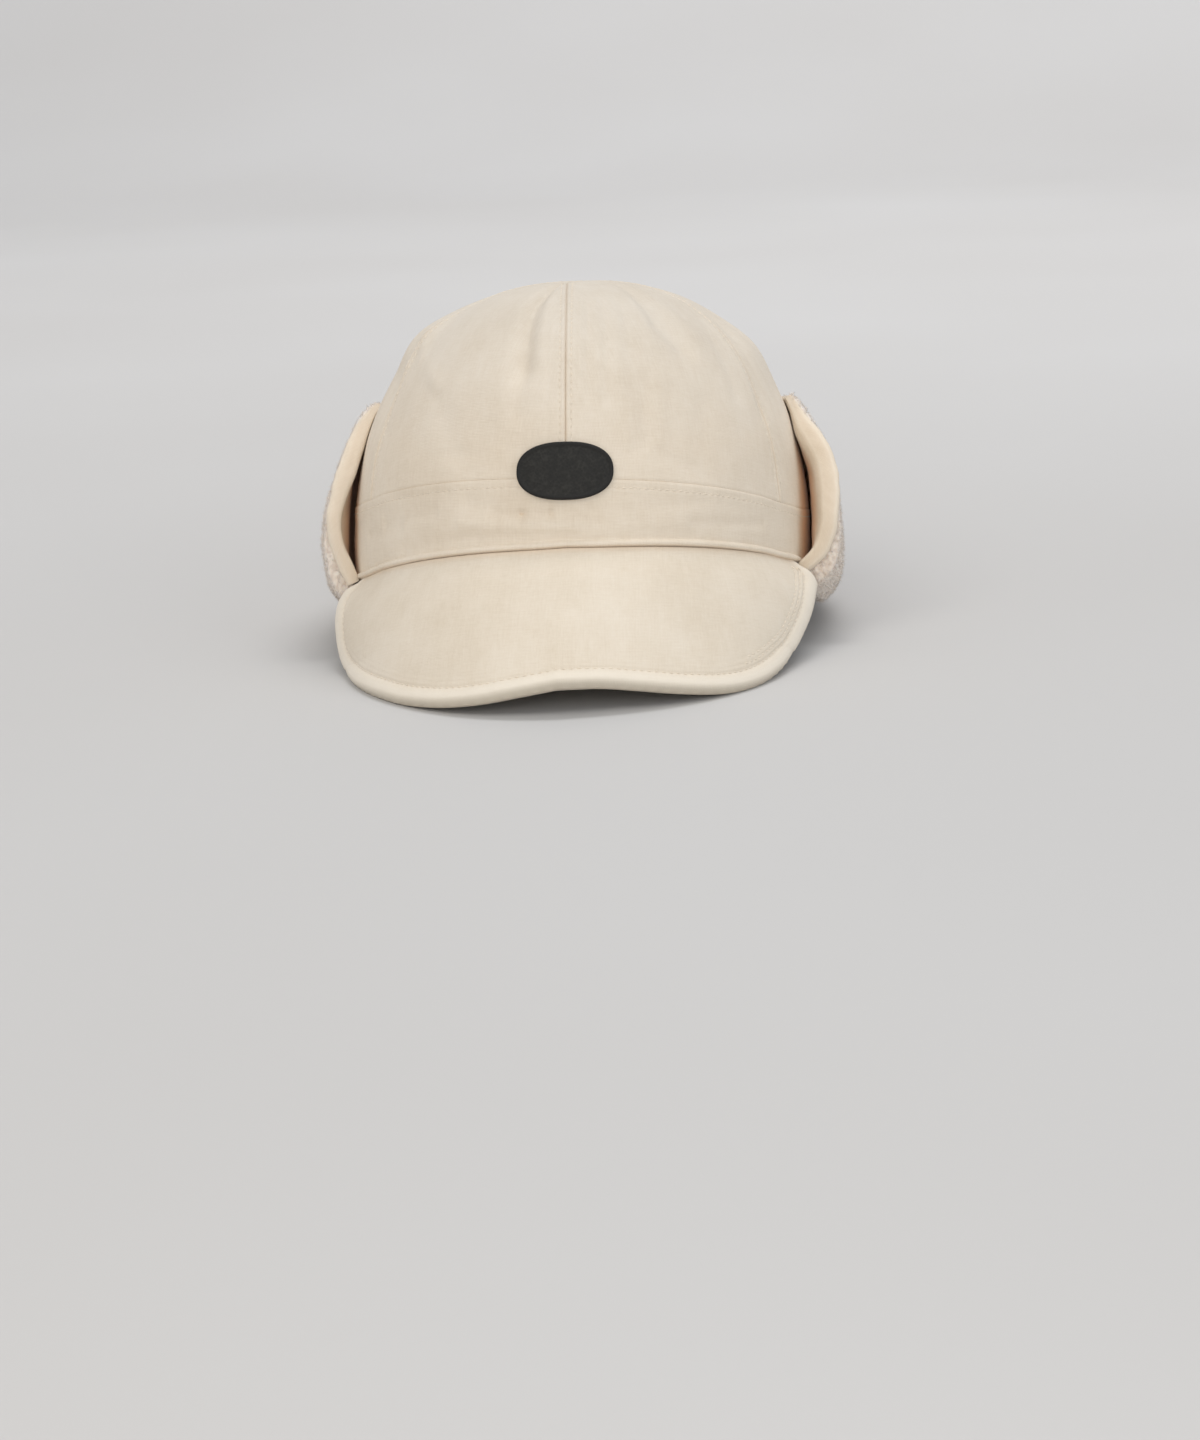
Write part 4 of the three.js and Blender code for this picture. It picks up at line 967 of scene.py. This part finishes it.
class Net:
    """short forms for wiring nodes"""

    def __init__(self, nt):
        self.nt = nt

    def put(self, target, value):
        if isinstance(value, (int, float, tuple, list)):
            target.default_value = value
        else:
            self.nt.links.new(value, target)

    def math(self, op, a, b=None, c=None):
        n = self.nt.nodes.new("ShaderNodeMath")
        n.operation = op
        self.put(n.inputs[0], a)
        if b is not None:
            self.put(n.inputs[1], b)
        if c is not None:
            self.put(n.inputs[2], c)
        return n.outputs[0]

    def noise(self, vector, scale, detail=2.0, rough=0.5, dims="3D"):
        n = self.nt.nodes.new("ShaderNodeTexNoise")
        n.noise_dimensions = dims
        self.nt.links.new(vector, n.inputs["Vector"])
        n.inputs["Scale"].default_value = scale
        n.inputs["Detail"].default_value = detail
        n.inputs["Roughness"].default_value = rough
        return n.outputs["Fac"]

    def scaled(self, vector, xyz):
        n = self.nt.nodes.new("ShaderNodeMapping")
        n.inputs["Scale"].default_value = xyz
        self.nt.links.new(vector, n.inputs["Vector"])
        return n.outputs[0]

    def ramp(self, fac, stops):
        n = self.nt.nodes.new("ShaderNodeValToRGB")
        el = n.color_ramp.elements
        el[0].position, el[0].color = stops[0][0], (*stops[0][1], 1)
        el[1].position, el[1].color = stops[-1][0], (*stops[-1][1], 1)
        for p_, c_ in stops[1:-1]:
            e_ = el.new(p_)
            e_.color = (*c_, 1)
        self.nt.links.new(fac, n.inputs[0])
        return n.outputs[0]

    def mix(self, fac, a, b, kind="MIX"):
        n = self.nt.nodes.new("ShaderNodeMix")
        n.data_type = "RGBA"
        n.blend_type = kind
        self.put(n.inputs[0], fac)
        for socket, value in ((n.inputs[6], a), (n.inputs[7], b)):
            if isinstance(value, tuple):
                socket.default_value = (*value, 1)
            else:
                self.nt.links.new(value, socket)
        return n.outputs[2]

    def bump(self, height, distance, strength=1.0, normal=None):
        n = self.nt.nodes.new("ShaderNodeBump")
        n.inputs["Distance"].default_value = distance
        n.inputs["Strength"].default_value = strength
        self.nt.links.new(height, n.inputs["Height"])
        if normal is not None:
            self.nt.links.new(normal, n.inputs["Normal"])
        return n.outputs[0]

    def attribute(self, name):
        n = self.nt.nodes.new("ShaderNodeAttribute")
        n.attribute_name = name
        return n.outputs["Fac"]


def cotton(name, base, dark, light, pitch=0.52, weave=0.00006, border=None):
    """plain-woven cotton: fine weave from the cloth's own coordinates in mm, slubs, slow changes of tone, and painted
    shade at seams, behind the flap, on the crown's top and round the peak's edge
    """
    m, nt, bsdf = new_material(name)
    g = Net(nt)
    coords = nt.nodes.new("ShaderNodeTexCoord")
    uv = nt.nodes.new("ShaderNodeUVMap")
    uv.uv_map = "cloth"
    sep = nt.nodes.new("ShaderNodeSeparateXYZ")
    nt.links.new(uv.outputs[0], sep.inputs[0])
    x, y = g.math("MULTIPLY", sep.outputs[0], 1 / pitch), g.math("MULTIPLY", sep.outputs[1], 1 / pitch)
    warp = g.math("ABSOLUTE", g.math("SINE", g.math("MULTIPLY", x, math.pi)))
    weft = g.math("ABSOLUTE", g.math("SINE", g.math("MULTIPLY", y, math.pi)))
    over_x = g.math("COSINE", g.math("MULTIPLY", g.math("ADD", g.math("FLOOR", x), g.math("ADD", y, 0.5)), math.pi))
    over_y = g.math("COSINE", g.math("MULTIPLY", g.math("ADD", g.math("FLOOR", y), g.math("ADD", x, -0.5)), math.pi))
    a = g.math("MULTIPLY", warp, g.math("MULTIPLY_ADD", over_x, 0.35, 0.65))
    b = g.math("MULTIPLY", weft, g.math("MULTIPLY_ADD", over_y, 0.35, 0.65))
    cloth = g.math("MAXIMUM", a, b)
    slub_x = g.noise(g.scaled(uv.outputs[0], (1.6, 0.16, 1)), 1.0, 2, 0.6)
    slub_y = g.noise(g.scaled(uv.outputs[0], (0.16, 1.6, 1)), 1.0, 2, 0.6)
    slub = g.math("ADD", slub_x, slub_y)
    streak = g.noise(g.scaled(uv.outputs[0], (0.30, 0.035, 1)), 1.0, 2, 0.5)
    slow = g.noise(coords.outputs["Object"], 34.0, 4, 0.6)
    grain = g.noise(coords.outputs["Object"], 900.0, 2, 0.6)
    tone = g.math("MULTIPLY_ADD", g.math("ADD", slub, -1.0), 0.45, slow)
    tone = g.math("MULTIPLY_ADD", g.math("ADD", streak, -0.5), 0.25, tone)
    tone = g.math("MULTIPLY_ADD", g.math("ADD", grain, -0.5), 0.25, tone)
    tone = g.math("MULTIPLY_ADD", g.math("ADD", cloth, -0.7), 0.30, tone)
    colour = g.ramp(tone, [(0.12, dark), (0.5, base), (0.9, light)])
    # painted shade: the cloth is a touch darker where it turns down into a seam
    near = g.math("MULTIPLY", g.attribute("edge"), 1 / 0.8)
    near = g.math("MINIMUM", near, 1.0)
    colour = g.mix(near, g.mix(1.0, colour, (0.94, 0.90, 0.86), "MULTIPLY"), colour)
    # painted shade: cloth turned down behind the flap, and along the peak's seam, is darkened to a warm brown, standing
    # in for shade and the warm light bounced off the cloth around it
    colour = g.mix(g.math("MULTIPLY", g.attribute("tuck"), 0.85), colour, g.mix(1.0, colour, (1.06, 0.76, 0.50), "MULTIPLY"))
    # painted shade: the crown's top is painted a shade greyer than the rest
    level = nt.nodes.new("ShaderNodeSeparateXYZ")
    nt.links.new(coords.outputs["Object"], level.inputs[0])
    top_shade_painted = g.math("MULTIPLY", g.math("SUBTRACT", level.outputs[2], 0.080), 1 / 0.045)
    top_shade_painted = g.math("MINIMUM", g.math("MAXIMUM", top_shade_painted, 0.0), 1.0)
    colour = g.mix(top_shade_painted, colour, g.mix(1.0, colour, (0.875, 0.90, 0.935), "MULTIPLY"))
    if border:
        rim = g.math("MULTIPLY", g.math("SUBTRACT", 7.1, g.attribute("edge")), 1 / 2.8)
        rim = g.math("MINIMUM", g.math("MAXIMUM", rim, 0.0), 1.0)
        colour = g.mix(g.math("MULTIPLY", rim, 0.75), colour, border)
        # painted shade: the peak's outermost 3 mm, round the underside of its rolled edge, is darkened
        rim_shade_painted = g.math("MINIMUM", g.math("MULTIPLY", g.attribute("edge"), 1 / 3.1), 1.0)
        colour = g.mix(rim_shade_painted, g.mix(1.0, colour, (0.68, 0.66, 0.62), "MULTIPLY"), colour)
    nt.links.new(colour, bsdf.inputs["Base Color"])
    bsdf.inputs["Roughness"].default_value = 0.92
    bsdf.inputs["Specular IOR Level"].default_value = 0.22
    bsdf.inputs["Sheen Weight"].default_value = 0.22
    bsdf.inputs["Sheen Roughness"].default_value = 0.5
    bsdf.inputs["Sheen Tint"].default_value = (1.0, 0.97, 0.92, 1)
    n1 = g.bump(cloth, weave, 0.75)
    n2 = g.bump(slub, 0.00006, 0.8, n1)
    n3 = g.bump(g.noise(coords.outputs["Object"], 420.0, 3, 0.6), 0.00006, 0.7, n2)
    nt.links.new(n3, bsdf.inputs["Normal"])
    return m


def thread_material():
    m, nt, bsdf = new_material("thread")
    g = Net(nt)
    coords = nt.nodes.new("ShaderNodeTexCoord")
    tone = g.noise(coords.outputs["Object"], 160.0, 2, 0.5)
    nt.links.new(g.ramp(tone, [(0.2, (0.70, 0.61, 0.49)), (0.8, (0.80, 0.72, 0.60))]), bsdf.inputs["Base Color"])
    bsdf.inputs["Roughness"].default_value = 0.6
    bsdf.inputs["Specular IOR Level"].default_value = 0.35
    bsdf.inputs["Sheen Weight"].default_value = 0.2
    nt.links.new(g.bump(g.noise(coords.outputs["Object"], 2400.0, 1, 0.5), 0.00004, 0.8), bsdf.inputs["Normal"])
    return m


def fleece_material():
    m, nt, bsdf = new_material("fleece")
    g = Net(nt)
    coords = nt.nodes.new("ShaderNodeTexCoord")
    # painted shade: on the pile this attribute darkens the hollows between the tufts; on the fibres it is their own
    # random tone
    tuft_shade_and_tone = g.attribute("pile")
    slow = g.noise(coords.outputs["Object"], 60.0, 3, 0.6)
    fine_ = g.noise(coords.outputs["Object"], 700.0, 3, 0.65)
    tone = g.math("MULTIPLY_ADD", g.math("ADD", slow, -0.5), 0.35, tuft_shade_and_tone)
    tone = g.math("MULTIPLY_ADD", g.math("ADD", fine_, -0.5), 0.35, tone)
    colour = g.ramp(tone, [(0.05, (0.53, 0.42, 0.335)), (0.45, (0.73, 0.63, 0.54)), (0.95, (0.86, 0.785, 0.70))])
    nt.links.new(colour, bsdf.inputs["Base Color"])
    bsdf.inputs["Roughness"].default_value = 1.0
    bsdf.inputs["Specular IOR Level"].default_value = 0.12
    bsdf.inputs["Sheen Weight"].default_value = 0.45
    bsdf.inputs["Sheen Roughness"].default_value = 0.6
    bsdf.inputs["Sheen Tint"].default_value = (1.0, 0.95, 0.92, 1)
    bsdf.inputs["Subsurface Weight"].default_value = 0.12
    bsdf.inputs["Subsurface Radius"].default_value = (0.004, 0.003, 0.002)
    bsdf.inputs["Subsurface Scale"].default_value = 0.5
    n1 = g.bump(fine_, 0.00035, 0.8)
    nt.links.new(g.bump(g.noise(coords.outputs["Object"], 1900.0, 2, 0.6), 0.00015, 0.7, n1), bsdf.inputs["Normal"])
    return m


def leather_material():
    m, nt, bsdf = new_material("dark_leather")
    g = Net(nt)
    coords = nt.nodes.new("ShaderNodeTexCoord")
    rim = g.attribute("rim")
    vor = nt.nodes.new("ShaderNodeTexVoronoi")
    vor.inputs["Scale"].default_value = 1100.0
    nt.links.new(coords.outputs["Object"], vor.inputs["Vector"])
    mottled = g.noise(coords.outputs["Object"], 330.0, 4, 0.65)
    tone = g.math("MULTIPLY_ADD", g.math("ADD", vor.outputs["Distance"], -0.4), 0.35, mottled)
    face = g.ramp(tone, [(0.25, (0.010, 0.010, 0.009)), (0.55, (0.018, 0.0175, 0.0155)), (0.85, (0.034, 0.033, 0.029))])
    on_rim = g.math("MINIMUM", g.math("MAXIMUM", g.math("SUBTRACT", 2.0, rim), 0.0), 1.0)
    nt.links.new(g.mix(on_rim, face, (0.014, 0.0135, 0.0125)), bsdf.inputs["Base Color"])
    rough = g.math("MULTIPLY_ADD", mottled, 0.25, 0.56)
    nt.links.new(rough, bsdf.inputs["Roughness"])
    bsdf.inputs["Specular IOR Level"].default_value = 0.3
    n1 = g.bump(vor.outputs["Distance"], 0.00018, 0.6)
    nt.links.new(g.bump(mottled, 0.0002, 0.6, n1), bsdf.inputs["Normal"])
    return m


crown_cotton = cotton("crown_cotton", (0.765, 0.672, 0.548), (0.695, 0.595, 0.468), (0.815, 0.732, 0.618))
peak_cotton = cotton("peak_cotton", (0.724, 0.644, 0.529), (0.662, 0.577, 0.458), (0.774, 0.704, 0.598), border=(0.80, 0.737, 0.633))
thread = thread_material()
fleece_mat = fleece_material()
leather = leather_material()

for ob in panels + [band, flap_shell]:
    ob.data.materials.append(crown_cotton)
peak.data.materials.append(peak_cotton)
for ob in [fleece] + fuzz:
    ob.data.materials.append(fleece_mat)
patch.data.materials.append(leather)
for ob in threads.values():
    ob.data.materials.append(thread)

for name, ob in zip(PANEL_NAMES, panels):
    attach(ob, "root")
    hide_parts(name)
for ob, node, slot in ((band, "crown_band", "crown_cotton"), (peak, "peak", "peak_cotton"), (flap_shell, "flap_shell", "crown_cotton"),
                       (fleece, "flap_fleece", "fleece"), (patch, "patch", "patch_leather")):
    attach(ob, "root")
    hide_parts(node)
for ob in fuzz:
    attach(ob, "root")
for group, ob in threads.items():
    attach(ob, "root")


# ==== floor, backdrop, light, camera =============================================================================
def backdrop():
    """a floor that runs up into a wall far behind the cap, in one smooth sweep"""
    prof = [(-7.0, 0.0)] + [(y, 0.0) for y in np.linspace(-5, 2.2, 8)]
    radius = 1.6
    for a_ in np.linspace(0, math.pi / 2, 20)[1:]:
        prof.append((2.2 + radius * math.sin(a_), radius * (1 - math.cos(a_))))
    prof.append((2.2 + radius, 7.0))
    xs = np.linspace(-8, 8, 9)
    V_ = np.array([[x, y, z - 0.00005] for x in xs for y, z in prof]) * 1000
    n = len(prof)
    q = [[i * n + j, (i + 1) * n + j, (i + 1) * n + j + 1, i * n + j + 1] for i in range(len(xs) - 1) for j in range(n - 1)]
    ob = make_mesh("backdrop", V_, [np.array(q)])
    m, nt, bsdf = new_material("backdrop")
    g = Net(nt)
    coords = nt.nodes.new("ShaderNodeTexCoord")
    tone = g.noise(coords.outputs["Object"], 1.5, 2, 0.5)
    paper = g.ramp(tone, [(0.3, (0.558, 0.550, 0.540)), (0.7, (0.588, 0.585, 0.580))])
    place = nt.nodes.new("ShaderNodeSeparateXYZ")
    nt.links.new(coords.outputs["Object"], place.inputs[0])
    out_x = g.math("SUBTRACT", g.math("ABSOLUTE", place.outputs[0]), 1.2)
    out_y = g.math("SUBTRACT", g.math("MULTIPLY", place.outputs[1], -1.0), 3.0)
    # painted shade: a darker patch on the floor in front of the cap, where the low front lamp throws a bright pool
    near_y = g.math("POWER", g.math("ABSOLUTE", g.math("ADD", place.outputs[1], 1.75)), 2.0)
    spot = g.math("ADD", g.math("MULTIPLY", g.math("POWER", g.math("ABSOLUTE", place.outputs[0]), 2.0), -1.6), g.math("MULTIPLY", near_y, -3.2))
    paper = g.mix(g.math("MULTIPLY", g.math("EXPONENT", spot), 0.5), paper, (0.16, 0.16, 0.16))
    # painted light: the backdrop is painted lighter far from the cap, where the lamps' light falls off
    painted_far_light = g.math("MULTIPLY", g.math("MAXIMUM", g.math("MAXIMUM", out_x, out_y), 0.0), 1 / 2.4)
    nt.links.new(g.mix(g.math("MINIMUM", painted_far_light, 1.0), paper, (0.90, 0.89, 0.88)), bsdf.inputs["Base Color"])
    bsdf.inputs["Roughness"].default_value = 0.9
    bsdf.inputs["Specular IOR Level"].default_value = 0.1
    ob.data.materials.append(m)
    return ob


backdrop()


def area_light(name, loc, target, size, energy, colour):
    data = bpy.data.lights.new(name, "AREA")
    data.shape = "DISK"
    data.size = size
    data.energy = energy
    data.color = colour
    ob = bpy.data.objects.new(name, data)
    ob.location = loc
    ob.rotation_mode = "QUATERNION"
    ob.rotation_quaternion = (Vector(target) - Vector(loc)).to_track_quat("-Z", "Y")
    ob.visible_camera = False
    bpy.context.scene.collection.objects.link(ob)
    return ob


area_light("key", (-0.9, -1.3, 1.7), (0, 0, 0.06), 1.3, 12.6, (1.0, 0.955, 0.885))
area_light("front", (0.02, -1.35, 0.42), (0, 0, 0.06), 0.5, 3.6, (1.0, 0.96, 0.92))
area_light("fill", (1.4, -1.1, 0.9), (0, 0, 0.06), 1.4, 6.2, (0.90, 0.95, 1.0))
area_light("rear", (0.3, 1.6, 1.8), (0, 0, 0.05), 1.2, 1.1, (1.0, 1.0, 1.0))
area_light("wall", (0.5, 0.7, 3.3), (0.4, 3.7, 1.5), 2.4, 103.0, (1.0, 0.995, 1.0))

world = bpy.data.worlds.new("studio")
world.use_nodes = True
world.node_tree.nodes["Background"].inputs[0].default_value = (0.93, 0.94, 0.97, 1)
world.node_tree.nodes["Background"].inputs[1].default_value = 0.50
bpy.context.scene.world = world

# the camera, in the cap's frame: it looks at a point just above the rim's middle from a little above and to the right
VIEW = {"rise": 4.5, "side": 3.1, "roll": -1.5, "distance": 1100.0, "focal_px": 2860.0, "target": (0.0, 0.0, 11.0), "pixel": (582.6, 532.0)}


def place_camera():
    p_, a_ = math.radians(VIEW["rise"]), math.radians(VIEW["side"])
    back = np.array([math.sin(a_) * math.cos(p_), -math.cos(a_) * math.cos(p_), math.sin(p_)])
    pos = np.array(VIEW["target"]) + back * VIEW["distance"]
    dx, dy = (VIEW["pixel"][0] - 600) / VIEW["focal_px"], (VIEW["pixel"][1] - 720) / VIEW["focal_px"]
    r_ = math.radians(VIEW["roll"])

    def axes(g):
        R = unit(np.cross(g, [0, 0, 1.0]))
        U_ = np.cross(R, g)
        return R * math.cos(r_) + U_ * math.sin(r_), -R * math.sin(r_) + U_ * math.cos(r_)
    fwd = -back
    g = fwd.copy()
    for _ in range(30):
        R, U_ = axes(g)
        ex, ey = dx - fwd @ R / (fwd @ g), dy + (fwd @ U_) / (fwd @ g)
        g = unit(g - R * ex + U_ * ey)
    R, U_ = axes(g)
    pos, g, R, U_ = stand(pos) * 0.001, turn_only(g), turn_only(R), turn_only(U_)
    cam = bpy.data.cameras.new("camera")
    cam.sensor_width = 36.0
    cam.lens = VIEW["focal_px"] * 36.0 / 1440.0
    cam.clip_start, cam.clip_end = 0.05, 40.0
    ob = bpy.data.objects.new("camera", cam)
    bpy.context.scene.collection.objects.link(ob)
    ob.matrix_world = Matrix([[R[0], U_[0], -g[0], pos[0]], [R[1], U_[1], -g[1], pos[1]], [R[2], U_[2], -g[2], pos[2]], [0, 0, 0, 1]])
    bpy.context.scene.camera = ob
    return ob


place_camera()
bpy.context.scene.view_settings.view_transform = "Standard"
bpy.context.scene.view_settings.look = "None"

bpy.context.view_layer.update()
